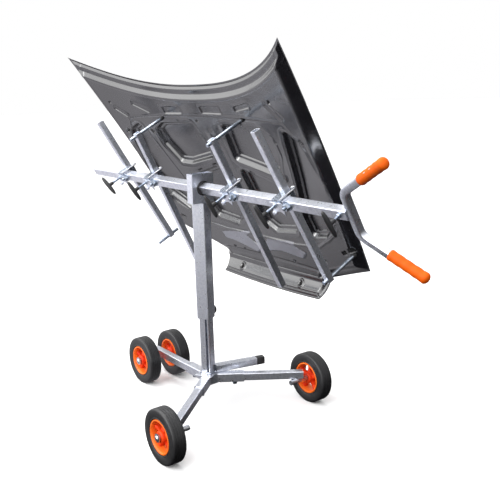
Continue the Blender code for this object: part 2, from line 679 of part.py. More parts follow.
# ---- bonnet -------------------------------------------------------------------------------------
def bonnet_point(across, along, depth=0.0):
    """A point of the skin: across runs -1..1, along 0 at the rear edge to 1 at the wings."""
    spread = abs(across)
    half = REAR_HALF + (FRONT_HALF - REAR_HALF) * along
    rear = REAR_MIDDLE_UP + (REAR_CORNER_UP - REAR_MIDDLE_UP) * spread ** 2.4
    nose = NOSE_HALF / FRONT_HALF
    if spread >= nose:
        front = NOTCH_UP + (WING_UP - NOTCH_UP) * (spread - nose) / (1 - nose)
    else:
        front = NOTCH_UP - 0.010 * (1 - (spread / nose) ** 2)
    up = rear + (front - rear) * along
    crown = REAR_CROWN + (FRONT_CROWN - REAR_CROWN) * along
    middle = REAR_MIDDLE_OUT + (FRONT_MIDDLE_OUT - REAR_MIDDLE_OUT) * along
    middle += 0.050 * along * (1 - along)
    out = middle - crown * spread ** 2.6
    return Vector((BONNET_X + half * across, out - depth, up))


def nose_point(across, drop, depth=0.0):
    """A point of the nose strip, drop 0 at the bonnet's front to 1 at the lip."""
    nose = NOSE_HALF / FRONT_HALF
    top = bonnet_point(across * nose, 1.0)
    lip = Vector((BONNET_X + LIP_HALF * across, LIP_OUT, LIP_UP - 0.012 * (1 - across ** 2)))
    point = top.lerp(lip, drop)
    point.z -= 0.012 * math.sin(math.pi * drop)
    point.y -= depth
    return point


def sheet_mesh(name, rows, thickness, windows=()):
    """A closed sheet from rows of points, open at a missing point and at each cell of windows."""
    shape = bmesh.new()
    grid = {}
    for r, row in enumerate(rows):
        for c, point in enumerate(row):
            if point is not None:
                grid[(r, c, 0)] = shape.verts.new(point)
                grid[(r, c, 1)] = shape.verts.new(point - Vector((0, thickness, 0)))
    cells = {(r, c) for r in range(len(rows) - 1) for c in range(len(rows[0]) - 1)
             if all((r + i, c + j, 0) in grid for i in (0, 1) for j in (0, 1))} - set(windows)
    for r, c in sorted(cells, reverse=True):
        for side in (0, 1):
            shape.faces.new([grid[(r + i, c + j, side)] for i, j in ((0, 0), (0, 1), (1, 1), (1, 0))])
        for (a, b), neighbour in ((((0, 0), (0, 1)), (r - 1, c)), (((1, 0), (1, 1)), (r + 1, c)),
                                  (((0, 0), (1, 0)), (r, c - 1)), (((0, 1), (1, 1)), (r, c + 1))):
            if neighbour not in cells:
                p = (r + a[0], c + a[1])
                q = (r + b[0], c + b[1])
                shape.faces.new((grid[(*p, 0)], grid[(*q, 0)], grid[(*q, 1)], grid[(*p, 1)]))
    return finish_mesh(name, shape, smooth=True)


def panel_point(x, up, depth):
    """The point of the bonnet's shape at x from its middle line and up the panel."""
    half = REAR_HALF
    for _ in range(6):
        spread = min(abs(x) / half, 1.0)
        rear = bonnet_point(spread, 0.0).z
        front = bonnet_point(spread, 1.0).z
        along = (rear - up) / (rear - front)
        half = REAR_HALF + (FRONT_HALF - REAR_HALF) * along
    return bonnet_point(x / half, along, depth)


def between(ends, share):
    return ends[0] + (ends[1] - ends[0]) * share


def frame_column_places(up):
    """Where the frame's columns stand on the right-hand side, from the middle to the side member."""
    share = (WINDOW_TOP - up) / (WINDOW_TOP - WINDOW_BOTTOM)
    share = min(max(share, 0.0), 1.0)
    lines = (0.0, SPINE_HALF, between(RIB_INSIDE, share), between(RIB_OUTSIDE, share), SIDE_INSIDE)
    places = [0.0]
    for start, end, cells in zip(lines, lines[1:], FRAME_COLUMNS):
        places += [start + (end - start) * (step + 1) / cells for step in range(cells)]
    return places


def cross_drop(x, up):
    """How far a row drops where the cross rib slants down from the spine to the slanting rib."""
    outer = frame_column_places(up)[FRAME_COLUMNS[0] + FRAME_COLUMNS[1]]
    share = min(max((abs(x) - SPINE_HALF) / (outer - SPINE_HALF), 0.0), 1.0)
    return (CROSS_TOP[0] - CROSS_TOP[1]) * share


def inner_frame_mesh():
    """The pressed inner frame: a rear beam, spine, ribs, side members and front beam round six windows."""
    lines = (WINDOW_TOP, CROSS_TOP[0], CROSS_TOP[0] - CROSS_WIDTH, WINDOW_BOTTOM)
    heights = []
    for start, end, cells in zip(lines, lines[1:], FRAME_ROWS):
        heights += [start + (end - start) * step / cells for step in range(cells)]
    heights.append(WINDOW_BOTTOM)
    middle_rows = []
    for up in heights:
        row = []
        for x in frame_column_places(up):
            fade = min((WINDOW_TOP - up) / (WINDOW_TOP - CROSS_TOP[0]),
                       (up - WINDOW_BOTTOM) / (CROSS_TOP[0] - CROSS_WIDTH - WINDOW_BOTTOM), 1.0)
            row.append(panel_point(x, up - fade * cross_drop(x, up), PANEL_DEPTH))
        edge = bonnet_point(FRAME_MARGIN, (REAR_CORNER_UP - up) / (REAR_CORNER_UP - WING_UP), PANEL_DEPTH)
        middle_rows.append(row + [edge])
    rows = []
    for step in range(REAR_BEAM_ROWS):
        rows.append(frame_edge_row(FRAME_REAR, middle_rows[0], step / REAR_BEAM_ROWS))
    rows += middle_rows
    for step in range(1, FRONT_BEAM_ROWS + 1):
        rows.append(frame_edge_row(FRAME_FRONT, middle_rows[-1], 1 - step / FRONT_BEAM_ROWS))
    spine, window, rib, side = FRAME_COLUMNS
    open_columns = [(spine + c, 0) for c in range(window)] + [(spine + window + rib + c, 1)
                                                             for c in range(side)]
    count = len(rows[0]) - 1
    windows = set()
    for column, long in open_columns:
        for r in range(len(heights) - 1):
            if long or r != FRAME_ROWS[0]:
                row = REAR_BEAM_ROWS + r
                windows |= {(row, count + column), (row, count - 1 - column)}
    whole = [[Vector((2 * BONNET_X - p.x, p.y, p.z)) for p in reversed(row[1:])] + row for row in rows]
    return sheet_mesh("bonnet_inner_frame", whole, SHEET, windows)


def frame_edge_row(along, nearest, share):
    """A row between the frame's edge at along, share 0, and its nearest window row, share 1."""
    row = []
    for point in nearest:
        x = point.x - BONNET_X
        half = REAR_HALF + (FRONT_HALF - REAR_HALF) * along
        edge_up = bonnet_point(min(x / half, FRAME_MARGIN), along).z
        row.append(panel_point(x, edge_up + (point.z - edge_up) * share, PANEL_DEPTH))
    return row


def skin_mesh():
    nose = NOSE_HALF / FRONT_HALF
    inner = [nose * step / 5 for step in range(-5, 6)]
    wing = [nose + (1 - nose) * (step / 5) for step in range(1, 6)]
    columns = [-value for value in reversed(wing)] + inner + wing
    rows = []
    for r in range(11):
        rows.append([bonnet_point(value, r / 10) for value in columns])
    for drop in (0.25, 0.5, 0.75, 1.0):
        rows.append([nose_point(value / nose, drop) if abs(value) <= nose + 1e-9 else None
                     for value in columns])
    return sheet_mesh("bonnet_skin", rows, SHEET)


def add_bonnet(tilt):
    add("bonnet_skin", skin_mesh(), PRIMER, tilt)
    add("bonnet_inner_frame", inner_frame_mesh(), PRIMER, tilt)


# ---- assembly -----------------------------------------------------------------------------------
def centre_on_footprint(root):
    """Move the root so that the origin is the bottom middle of the model's box."""
    bpy.context.view_layer.update()
    graph = bpy.context.evaluated_depsgraph_get()
    low = Vector((math.inf,) * 3)
    high = Vector((-math.inf,) * 3)
    for item in bpy.data.objects:
        if item.type != "MESH" or item.hide_render:
            continue
        shown = item.evaluated_get(graph)
        for vertex in shown.data.vertices:
            point = shown.matrix_world @ vertex.co
            low = Vector(map(min, low, point))
            high = Vector(map(max, high, point))
    root.location = (-(low.x + high.x) / 2, -(low.y + high.y) / 2, -low.z)


def main():
    clear_scene()
    root = empty("stand", None)
    add_base(root)
    slide = add_post(root)
    tilt = empty("tilt_frame", slide, (0, 0, AXIS_HEIGHT), (TILT, 0, 0))
    add_crossbar(tilt)
    for name, values in ARMS.items():
        add_arm(tilt, name, *values)
    add_handle(tilt)
    add_bonnet(tilt)
    centre_on_footprint(root)


main()
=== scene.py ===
"""Looks of the wheeled body-panel stand and the bonnet that it holds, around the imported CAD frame.

Metres; +X along the crossbar to the handle, +Y towards the bonnet, +Z up.
"""

import json
import math

import bmesh
import bpy
import numpy as np
from mathutils import Matrix, Vector


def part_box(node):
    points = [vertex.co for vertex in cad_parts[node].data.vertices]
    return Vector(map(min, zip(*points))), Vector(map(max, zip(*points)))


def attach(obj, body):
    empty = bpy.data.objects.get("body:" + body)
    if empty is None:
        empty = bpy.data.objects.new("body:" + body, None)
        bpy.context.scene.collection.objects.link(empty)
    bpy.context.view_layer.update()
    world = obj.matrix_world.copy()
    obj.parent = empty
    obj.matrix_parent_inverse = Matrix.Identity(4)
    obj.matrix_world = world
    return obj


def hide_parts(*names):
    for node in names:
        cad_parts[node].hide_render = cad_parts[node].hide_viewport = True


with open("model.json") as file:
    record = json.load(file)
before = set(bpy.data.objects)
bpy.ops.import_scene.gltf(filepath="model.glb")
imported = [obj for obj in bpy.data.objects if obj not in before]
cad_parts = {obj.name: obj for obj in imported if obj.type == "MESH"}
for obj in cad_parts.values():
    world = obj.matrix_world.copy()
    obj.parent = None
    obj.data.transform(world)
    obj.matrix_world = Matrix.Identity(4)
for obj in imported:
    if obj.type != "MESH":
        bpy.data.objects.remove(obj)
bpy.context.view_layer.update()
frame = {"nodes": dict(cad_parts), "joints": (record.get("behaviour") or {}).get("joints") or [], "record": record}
JOINTS = {joint["name"]: joint for joint in frame["joints"]}

# ---- where things are ----------------------------------------------------------------------------
TILT_POINT = Vector(JOINTS["panel_tilt"]["pos_m"])
TILT_ANGLE = math.radians(27.3)
TILT = Matrix.Translation(TILT_POINT) @ Matrix.Rotation(TILT_ANGLE, 4, "X")
POST_TURN = math.radians(27.0)
POST = Matrix.Translation((TILT_POINT.x, TILT_POINT.y, 0)) @ Matrix.Rotation(POST_TURN, 4, "Z")

CAMERA_PLACE = TILT_POINT + Vector((2.3793, -1.5625, 0.4091))
CAMERA_HEADING = math.radians(144.442)      # of its view, turned from +X towards +Y
CAMERA_PITCH = math.radians(-12.384)
CAMERA_ROLL = math.radians(-2.061)
LENS = 54.708
SHIFT = (0.0356, -0.0153)

CROSSBAR_HALF = 0.0165
CROSSBAR_RIGHT = 0.793
CLAMP_WALL = 0.004
SLIDE_GAP = 0.0003
CLAMP_FACE = CROSSBAR_HALF + SLIDE_GAP + CLAMP_WALL     # from the crossbar's axis to the clamp's outside


# ---- node arithmetic -----------------------------------------------------------------------------
def ramp(tree, value, low, high, start, end):
    """A value between low and high made into one between start and end."""
    node = tree.nodes.new("ShaderNodeMapRange")
    tree.links.new(value, node.inputs["Value"])
    for socket, number in (("From Min", low), ("From Max", high), ("To Min", start), ("To Max", end)):
        node.inputs[socket].default_value = number
    return node.outputs["Result"]


def arithmetic(tree, operation, first, second):
    node = tree.nodes.new("ShaderNodeMath")
    node.operation = operation
    for socket, value in zip(node.inputs, (first, second)):
        tree.links.new(value, socket)
    return node.outputs["Value"]


# ---- materials -----------------------------------------------------------------------------------
class Paint:
    """A node material that is built up from noise, ramps and bumps."""

    def __init__(self, name, colour, roughness, metallic=0.0, **sockets):
        self.made = bpy.data.materials.new(name)
        self.made.use_nodes = True
        self.tree = self.made.node_tree
        self.shader = self.tree.nodes["Principled BSDF"]
        self.put("Base Color", (*colour, 1.0))
        self.put("Roughness", roughness)
        self.put("Metallic", metallic)
        for socket, value in sockets.items():
            self.put(socket.replace("_", " "), value)
        self.place = self.tree.nodes.new("ShaderNodeTexCoord").outputs["Object"]

    def put(self, socket, value):
        self.shader.inputs[socket].default_value = value

    def node(self, kind, **inputs):
        node = self.tree.nodes.new(kind)
        for key, value in inputs.items():
            if hasattr(value, "is_output"):
                self.tree.links.new(value, node.inputs[key])
            else:
                node.inputs[key].default_value = value
        return node

    def noise(self, scale, detail, distortion=0.0):
        return self.node("ShaderNodeTexNoise", Vector=self.place, Scale=scale, Detail=detail,
                         Distortion=distortion).outputs["Fac"]

    def grey(self, value, low, high, dark, light):
        return ramp(self.tree, value, low, high, dark, light)

    def blend(self, value, first, second):
        node = self.tree.nodes.new("ShaderNodeMix")
        node.data_type = "RGBA"
        self.tree.links.new(value, node.inputs["Factor"])
        for socket, colour in (("A", first), ("B", second)):
            found = [s for s in node.inputs if s.name == socket and s.type == "RGBA"][0]
            if hasattr(colour, "is_output"):
                self.tree.links.new(colour, found)
            else:
                found.default_value = (*colour, 1.0)
        return [s for s in node.outputs if s.type == "RGBA"][0]

    def colour(self, output):
        self.tree.links.new(output, self.shader.inputs["Base Color"])

    def rough(self, output):
        self.tree.links.new(output, self.shader.inputs["Roughness"])

    def bump(self, value, distance, strength):
        node = self.node("ShaderNodeBump", Height=value, Distance=distance, Strength=strength)
        before = self.shader.inputs["Normal"]
        if before.is_linked:
            self.tree.links.new(before.links[0].from_socket, node.inputs["Normal"])
        self.tree.links.new(node.outputs["Normal"], before)


def zinc_paint(name, dark, light, tint, rough_low, rough_high):
    """Zinc plate: faint blotches, a fine spangle and handling marks."""
    paint = Paint(name, light, rough_low, 0.94)
    cloud = paint.noise(75.0, 6.0, distortion=0.4)
    fine = paint.noise(260.0, 3.0)
    body = paint.blend(paint.grey(cloud, 0.40, 0.60, 0.0, 1.0), dark, light)
    spots = paint.blend(paint.grey(fine, 0.45, 0.68, 0.0, 0.5), body, tint)
    marks = paint.noise(11.0, 5.0)
    paint.colour(paint.blend(paint.grey(marks, 0.60, 0.76, 0.0, 0.35), spots, dark))
    paint.rough(paint.grey(cloud, 0.3, 0.7, rough_high, rough_low))
    paint.bump(paint.noise(60.0, 4.0), 0.0005, 0.3)
    paint.bump(fine, 0.0002, 0.35)
    return paint.made


def rubber_paint():
    paint = Paint("tyre_rubber", (0.010, 0.010, 0.011), 0.50, Specular_IOR_Level=0.7)
    dust = paint.noise(14.0, 6.0)
    paint.colour(paint.blend(paint.grey(dust, 0.4, 0.75, 0.0, 1.0), (0.007, 0.007, 0.008),
                             (0.016, 0.016, 0.018)))
    paint.rough(paint.grey(dust, 0.3, 0.7, 0.42, 0.60))
    paint.bump(paint.noise(420.0, 2.0), 0.0003, 0.3)
    return paint.made


def plastic_paint(name, dark, light, rough_low, rough_high, shine=0.5):
    paint = Paint(name, light, rough_low, Specular_IOR_Level=shine)
    cloud = paint.noise(18.0, 4.0)
    paint.colour(paint.blend(paint.grey(cloud, 0.35, 0.65, 0.0, 1.0), dark, light))
    paint.rough(paint.grey(cloud, 0.3, 0.7, rough_low, rough_high))
    paint.bump(paint.noise(700.0, 2.0), 0.0002, 0.25)
    return paint.made


def panel_paint(name, dark, light, rough_low, rough_high, orange_peel):
    paint = Paint(name, light, rough_low, 0.0, IOR=1.80, Specular_IOR_Level=0.95)
    cloud = paint.noise(7.0, 5.0)
    paint.colour(paint.blend(paint.grey(cloud, 0.35, 0.68, 0.0, 1.0), dark, light))
    paint.rough(paint.grey(paint.noise(11.0, 6.0), 0.3, 0.7, rough_low, rough_high))
    paint.bump(paint.noise(220.0, 2.0), orange_peel, 0.3)
    return paint.made


MATERIALS = {
    "zinc": zinc_paint("bright_zinc", (0.68, 0.70, 0.77), (0.86, 0.88, 0.94), (0.72, 0.77, 0.88), 0.26,
                       0.38),
    "zinc_blue": zinc_paint("blue_zinc", (0.28, 0.32, 0.39), (0.58, 0.63, 0.71), (0.38, 0.46, 0.58),
                            0.20, 0.30),
    "steel": zinc_paint("cap_steel", (0.45, 0.46, 0.50), (0.84, 0.85, 0.88), (0.60, 0.63, 0.70), 0.22,
                        0.34),
    "tyre": rubber_paint(),
    "rubber": plastic_paint("black_rubber", (0.012, 0.012, 0.013), (0.024, 0.024, 0.026), 0.45, 0.6),
    # The rim's band is its own orange, painted lighter than the spokes and hub as a painted highlight.
    "rim_orange": plastic_paint("rim_plastic", (0.86, 0.135, 0.012), (0.95, 0.190, 0.022), 0.32, 0.42,
                                0.4),
    "grip_orange": plastic_paint("grip_plastic", (0.70, 0.095, 0.003), (0.80, 0.125, 0.005), 0.46,
                                 0.58, 0.16),
    "black_plastic": plastic_paint("moulded_plastic", (0.014, 0.014, 0.015), (0.032, 0.032, 0.034),
                                   0.34, 0.48),
    "primer": panel_paint("panel_gloss", (0.006, 0.006, 0.0075), (0.012, 0.0115, 0.015), 0.14, 0.28,
                          0.0002),
}
SPOKE_ORANGE = plastic_paint("spoke_plastic", (0.66, 0.032, 0.006), (0.82, 0.062, 0.008), 0.38, 0.48,
                             0.25)
# A lighter copy of the panel paint for the front plates: a painted highlight.
PLATE_PAINTED_HIGHLIGHT = panel_paint("plate_painted_highlight", (0.13, 0.135, 0.165), (0.20, 0.205, 0.245), 0.24, 0.40, 0.0002)
# Near-black paint for the sunk floors of the holes: painted shade where the holes would open through.
HOLE_PAINTED_SHADE = Paint("hole_painted_shade", (0.004, 0.004, 0.004), 0.9).made


def finish_nodes():
    """Each CAD node gets the finer material of its slot."""
    for entry in frame["record"]["subparts"]:
        node = frame["nodes"].get(entry["node"])
        if node is not None:
            node.material_slots[0].material = MATERIALS[entry["material_slot"]]


# ---- pieces --------------------------------------------------------------------------------------
def piece(name, mesh, slot, body, replaced=(), smooth=40.0):
    """A new mesh, already in the frame's coordinates, that rides on a CAD body."""
    item = bpy.data.objects.new(name, mesh)
    bpy.context.scene.collection.objects.link(item)
    if not mesh.materials:
        mesh.materials.append(MATERIALS[slot])
    if smooth:
        mesh.shade_smooth()
        mesh.set_sharp_from_angle(angle=math.radians(smooth))
    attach(item, body)
    if replaced:
        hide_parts(*replaced)
    return item


def mesh_from(name, shape, matrix=None):
    bmesh.ops.recalc_face_normals(shape, faces=shape.faces)
    if matrix is not None:
        bmesh.ops.transform(shape, matrix=matrix, verts=shape.verts)
    mesh = bpy.data.meshes.new(name)
    shape.to_mesh(mesh)
    shape.free()
    return mesh


def turned(shape, profile, segments, matrix):
    """Turn (radius, height) points about Z into shape; ends on the axis are closed."""
    loops = []
    for radius, height in profile:
        if radius <= 0:
            loops.append([shape.verts.new((0, 0, height))])
            continue
        loops.append([shape.verts.new((radius * math.cos(2 * math.pi * i / segments),
                                       radius * math.sin(2 * math.pi * i / segments), height))
                      for i in range(segments)])
    for lower, upper in zip(loops, loops[1:]):
        for i in range(segments):
            j = (i + 1) % segments
            corners = []
            corners += [lower[0]] if len(lower) == 1 else [lower[i], lower[j]]
            corners += [upper[0]] if len(upper) == 1 else [upper[j], upper[i]]
            if len(corners) > 2:
                shape.faces.new(corners)
    bmesh.ops.transform(shape, matrix=matrix, verts=[v for loop in loops for v in loop])


def join_loops(shape, loops):
    """Faces between loops of the same length, and a face over each end."""
    for lower, upper in zip(loops, loops[1:]):
        count = len(lower)
        for i in range(count):
            j = (i + 1) % count
            shape.faces.new((lower[i], lower[j], upper[j], upper[i]))
    shape.faces.new(loops[0])
    shape.faces.new(loops[-1])


def ring(shape, profile, segments, matrix):
    turned(shape, list(profile) + [profile[0]], segments, matrix)
    bmesh.ops.remove_doubles(shape, verts=shape.verts, dist=1e-7)


def rounded(profile, radius, steps=4):
    """Round the corners of an open (radius, height) profile."""
    points = [Vector(profile[0])]
    for before, at, after in zip(profile, profile[1:], profile[2:]):
        before, at, after = Vector(before), Vector(at), Vector(after)
        cut = min(radius, (before - at).length / 2.1, (after - at).length / 2.1)
        start = at + (before - at).normalized() * cut
        end = at + (after - at).normalized() * cut
        for step in range(steps + 1):
            t = step / steps
            points.append(start * (1 - t) ** 2 + at * 2 * t * (1 - t) + end * t ** 2)
    points.append(Vector(profile[-1]))
    return [(max(p.x, 0.0), p.y) for p in points]


def box(shape, size, middle, bevel, matrix):
    """A box with rounded edges."""
    made = bmesh.ops.create_cube(shape, size=1.0)["verts"]
    bmesh.ops.scale(shape, vec=size, verts=made)
    bmesh.ops.translate(shape, vec=middle, verts=made)
    edges = list({edge for vert in made for edge in vert.link_edges})
    made = bmesh.ops.bevel(shape, geom=edges, offset=bevel, segments=2, affect="EDGES",
                           profile=0.5)["verts"]
    bmesh.ops.transform(shape, matrix=matrix, verts=made)


def axis_matrix(origin, direction):
    """Local Z along direction, at origin."""
    return Matrix.Translation(origin) @ Vector(direction).to_track_quat("Z", "Y").to_matrix().to_4x4()


# ---- bonnet --------------------------------------------------------------------------------------
BONNET_X = -0.083
REAR_HALF = 0.720
FRONT_HALF = 0.611
NOSE_HALF = 0.343
LIP_HALF = 0.319
REAR_MIDDLE_UP = 0.324
REAR_CORNER_UP = 0.515
WING_UP = -0.426
NOTCH_UP = -0.535
LIP_UP = -0.587
REAR_MIDDLE_OUT = 0.202
REAR_CROWN = 0.086
FRONT_MIDDLE_OUT = 0.215
FRONT_CROWN = 0.025
LIP_OUT = 0.125
REAR_CURVE = 2.4                # how late the rear edge rises towards its corners
CROWN_CURVE = 2.6               # how late the sheet falls towards its sides
MIDDLE_BULGE = 0.050
NOSE_BOW = 0.010
LIP_BOW = 0.012
SHEET = 0.0012
NOSE = NOSE_HALF / FRONT_HALF


def rear_edge(spread):
    """Height of the rear edge, spread 0 in the middle to 1 at the corners."""
    return REAR_MIDDLE_UP + (REAR_CORNER_UP - REAR_MIDDLE_UP) * spread ** REAR_CURVE


def skin_point(across, along):
    """Arrays of (x, out, up) in the tilting frame: across -1..1, along 0 at the rear to 1."""
    spread = np.abs(across)
    half = REAR_HALF + (FRONT_HALF - REAR_HALF) * along
    rear = rear_edge(spread)
    wing = NOTCH_UP + (WING_UP - NOTCH_UP) * (spread - NOSE) / (1 - NOSE)
    bow = NOTCH_UP - NOSE_BOW * (1 - np.minimum(spread / NOSE, 1) ** 2)
    front = np.where(spread >= NOSE, wing, bow)
    up = rear + (front - rear) * along
    crown = REAR_CROWN + (FRONT_CROWN - REAR_CROWN) * along
    middle = REAR_MIDDLE_OUT + (FRONT_MIDDLE_OUT - REAR_MIDDLE_OUT) * along
    out = middle + MIDDLE_BULGE * along * (1 - along) - crown * spread ** CROWN_CURVE
    return np.stack([half * across, out, up], -1)


def nose_skin_point(across, drop):
    """The same on the nose strip: across -1..1 of the strip, drop 0 at the front to 1 at the lip."""
    top = skin_point(across * NOSE, np.ones_like(across))
    lip = np.stack([LIP_HALF * across, np.full_like(across, LIP_OUT),
                    LIP_UP - LIP_BOW * (1 - across ** 2)], -1)
    point = top + (lip - top) * drop[..., None]
    point[..., 2] -= LIP_BOW * np.sin(math.pi * drop)
    return point


def grid_normals(points):
    """Unit normals of a grid of points, towards the stand."""
    down = np.gradient(points, axis=0)
    side = np.gradient(points, axis=1)
    normal = np.cross(down, side)
    normal /= np.linalg.norm(normal, axis=-1, keepdims=True)
    flip = np.where(normal[..., 1:2] > 0, -1.0, 1.0)
    return normal * flip


def smooth_step(value):
    value = np.clip(value, 0, 1)
    return value * value * (3 - 2 * value)


def ridge(distance, width):
    """A soft line, 1 where distance is 0."""
    return np.exp(-(distance / width) ** 2)


def polygon_distance(x, y, corners, radius):
    """Signed distance to a polygon, negative inside, with its corners rounded."""
    points = np.array(corners, float)
    centre = points.mean(0)
    away = points - centre
    points = centre + away * (1 - radius / np.linalg.norm(away, axis=1, keepdims=True))
    best = np.full(x.shape, 1e9)
    inside = np.zeros(x.shape, bool)
    for a, b in zip(points, np.roll(points, -1, 0)):
        edge = b - a
        t = np.clip(((x - a[0]) * edge[0] + (y - a[1]) * edge[1]) / (edge @ edge), 0, 1)
        best = np.minimum(best, np.hypot(x - a[0] - t * edge[0], y - a[1] - t * edge[1]))
        crosses = (a[1] > y) != (b[1] > y)
        rise = b[1] - a[1]
        at = a[0] + (y - a[1]) * edge[0] / (rise if abs(rise) > 1e-12 else 1e-12)
        inside ^= crosses & (x < at)
    return np.where(inside, -best, best) - radius


def segment_distance(x, y, a, b):
    a, b = np.array(a), np.array(b)
    edge = b - a
    t = np.clip(((x - a[0]) * edge[0] + (y - a[1]) * edge[1]) / (edge @ edge), 0, 1)
    return np.hypot(x - a[0] - t * edge[0], y - a[1] - t * edge[1])


def slab_distance(x, y, middle, size, angle):
    """Signed distance to a turned rectangle."""
    turn = math.radians(angle)
    dx, dy = x - middle[0], y - middle[1]
    along = np.abs(dx * math.cos(turn) + dy * math.sin(turn)) - size[0] / 2
    across = np.abs(-dx * math.sin(turn) + dy * math.cos(turn)) - size[1] / 2
    outside = np.hypot(np.maximum(along, 0), np.maximum(across, 0))
    return outside + np.minimum(np.maximum(along, across), 0)


PANEL_HEIGHT = 0.027
HEM = 0.004
EDGE_WALL = 0.042
REAR_FLANGE = 0.011
REAR_FLANGE_WIDTH = 0.027
REAR_WALL = 0.021
WINDOW_WALL = 0.016
WINDOW_LEDGE = 0.012
WINDOW_ROUND = 0.028
WINDOW_STEP = 0.26              # share of the wall that rises at the ledge's edge
WELL_ROUND = 0.03
WELL_DEPTH = 0.0035
BEAD_HEIGHT = 0.0050
SPINE_HALF = 0.040
EMBOSS_DEPTH = 0.0030
EMBOSS_RIM = 0.0028
PLATE_ROUND = 0.004
WINDOWS = (                     # right-hand windows; each has its mirror image
    ((0.072, 0.006), (0.092, 0.152), (0.150, 0.158), (0.345, 0.158), (0.398, 0.128), (0.395, 0.060),
     (0.340, -0.042), (0.270, -0.050)),
    ((0.076, -0.046), (0.270, -0.092), (0.302, -0.130), (0.302, -0.250), (0.262, -0.325),
     (0.120, -0.342), (0.076, -0.310)),
    ((0.505, 0.168), (0.556, 0.150), (0.598, 0.000), (0.604, -0.120), (0.545, -0.230),
     (0.440, -0.305), (0.372, -0.318), (0.364, -0.262), (0.420, -0.050)),
)
WELL = ((-0.606, -0.120), (-0.585, 0.110), (-0.530, 0.190), (0.530, 0.190), (0.585, 0.110),
        (0.606, -0.120), (0.545, -0.245), (0.400, -0.345), (0.250, -0.372), (-0.250, -0.372),
        (-0.400, -0.345), (-0.545, -0.245))
EMBOSSES = (                    # middle, size, angle
    ((-0.557, 0.234), (0.075, 0.016), -42.0),
    ((-0.403, 0.248), (0.100, 0.018), -28.0),
    ((-0.187, 0.228), (0.118, 0.030), 0.0),
    ((0.087, 0.231), (0.125, 0.030), 0.0),
    ((0.305, 0.250), (0.100, 0.018), 12.0),
    ((0.505, 0.248), (0.086, 0.018), -42.0),
)
HOLES = (                       # middle, size, angle; as long as wide is round
    ((-0.599, 0.285), (0.010, 0.010), 0.0),
    ((0.507, 0.284), (0.012, 0.012), 0.0),
    ((-0.236, -0.477), (0.013, 0.010), 0.0),
    ((-0.166, -0.479), (0.010, 0.008), 0.0),
    ((0.174, -0.477), (0.012, 0.009), 0.0),
    ((0.384, -0.426), (0.018, 0.012), 0.0),
    ((-0.220, -0.070), (0.030, 0.007), 16.0),
    ((-0.092, -0.034), (0.030, 0.007), 14.0),
    ((0.150, -0.050), (0.022, 0.006), -15.0),
    ((0.405, 0.121), (0.014, 0.034), 20.0),
    ((0.345, -0.030), (0.007, 0.026), -25.0),
    ((0.372, -0.052), (0.008, 0.030), -20.0),
    ((-0.420, 0.122), (0.020, 0.010), -60.0),
    ((0.584, -0.323), (0.026, 0.018), 20.0),
    ((0.590, 0.136), (0.024, 0.014), -50.0),
    ((-0.590, 0.136), (0.024, 0.014), 50.0),
    ((-0.052, 0.174), (0.012, 0.009), 0.0),
    ((0.240, 0.172), (0.014, 0.009), 0.0),
    ((-0.190, 0.175), (0.012, 0.009), 0.0),
    ((0.540, -0.345), (0.030, 0.014), 30.0),
    ((-0.540, -0.345), (0.030, 0.014), -30.0),
)
HOLE_DEPTH = 0.006
HOLE_EDGE = 0.001
PLATES = (                      # plates at the front, painted lighter as a painted highlight
    ((-0.285, -0.402), (-0.075, -0.372), (-0.110, -0.392), (-0.030, -0.450), (-0.055, -0.470),
     (-0.200, -0.438), (-0.270, -0.430)),
    ((-0.010, -0.450), (0.040, -0.388), (0.215, -0.372), (0.215, -0.392), (0.275, -0.415),
     (0.250, -0.440), (0.110, -0.432)),
)


def border_height(x, up, across, along):
    """Height of the wall round the panel, and each point's distance from the sides and front."""
    half = REAR_HALF + (FRONT_HALF - REAR_HALF) * along
    spread = np.abs(across)
    side = half * (1 - spread) - HEM
    slope = (REAR_CORNER_UP - REAR_MIDDLE_UP) * REAR_CURVE * spread ** (REAR_CURVE - 1) / REAR_HALF
    behind = (rear_edge(spread) - up) / np.sqrt(1 + slope ** 2) - HEM
    wing = segment_distance(np.abs(x), up, (NOSE_HALF, NOTCH_UP), (FRONT_HALF + 0.05, WING_UP + 0.02))
    edge = np.minimum(side, wing - HEM)
    height = PANEL_HEIGHT * smooth_step(edge / EDGE_WALL)
    fold = REAR_FLANGE * smooth_step(behind / 0.012)
    fold += (PANEL_HEIGHT - REAR_FLANGE) * smooth_step((behind - REAR_FLANGE_WIDTH) / REAR_WALL)
    height = np.minimum(height, fold)
    height += 0.0022 * ridge(edge - EDGE_WALL * 1.08, 0.004)
    height += 0.0012 * ridge(behind - 0.052, 0.003)
    return height, edge


def well_and_bead(height, x, up, edge):
    """The shallow well that holds the windows, with a bead round it."""
    well = polygon_distance(x, up, WELL, WELL_ROUND)
    height = height - WELL_DEPTH * smooth_step(0.5 - well / 0.010)
    return height + BEAD_HEIGHT * ridge(well + 0.001, 0.0045) * smooth_step((edge - EDGE_WALL) / 0.010)


def windows(height, x, up):
    """Windows on both sides, each with a ledge, a wall and a raised line round it."""
    for corners in WINDOWS:
        for sign in (1, -1):
            away = polygon_distance(x * sign, up, corners, WINDOW_ROUND)
            height = height + 0.0016 * ridge(away - 0.012, 0.0035)
            within = away + WINDOW_WALL + WINDOW_LEDGE
            ledge = WINDOW_STEP * smooth_step(within / 0.005)
            wall = (1 - WINDOW_STEP) * smooth_step((within - WINDOW_LEDGE) / WINDOW_WALL)
            height = np.where(within < 0, -0.0006, height * (ledge + wall))
    return height


def spine_and_beam(x, up):
    """The raised spine between the windows, and the groove along the nose."""
    spine = smooth_step(1 - np.abs(x) / SPINE_HALF) * smooth_step((0.150 - up) / 0.03)
    groove = smooth_step(1 - np.abs(up + 0.492) / 0.012) * smooth_step((0.36 - np.abs(x)) / 0.03)
    return 0.004 * spine * smooth_step((up + 0.34) / 0.03) - 0.005 * groove


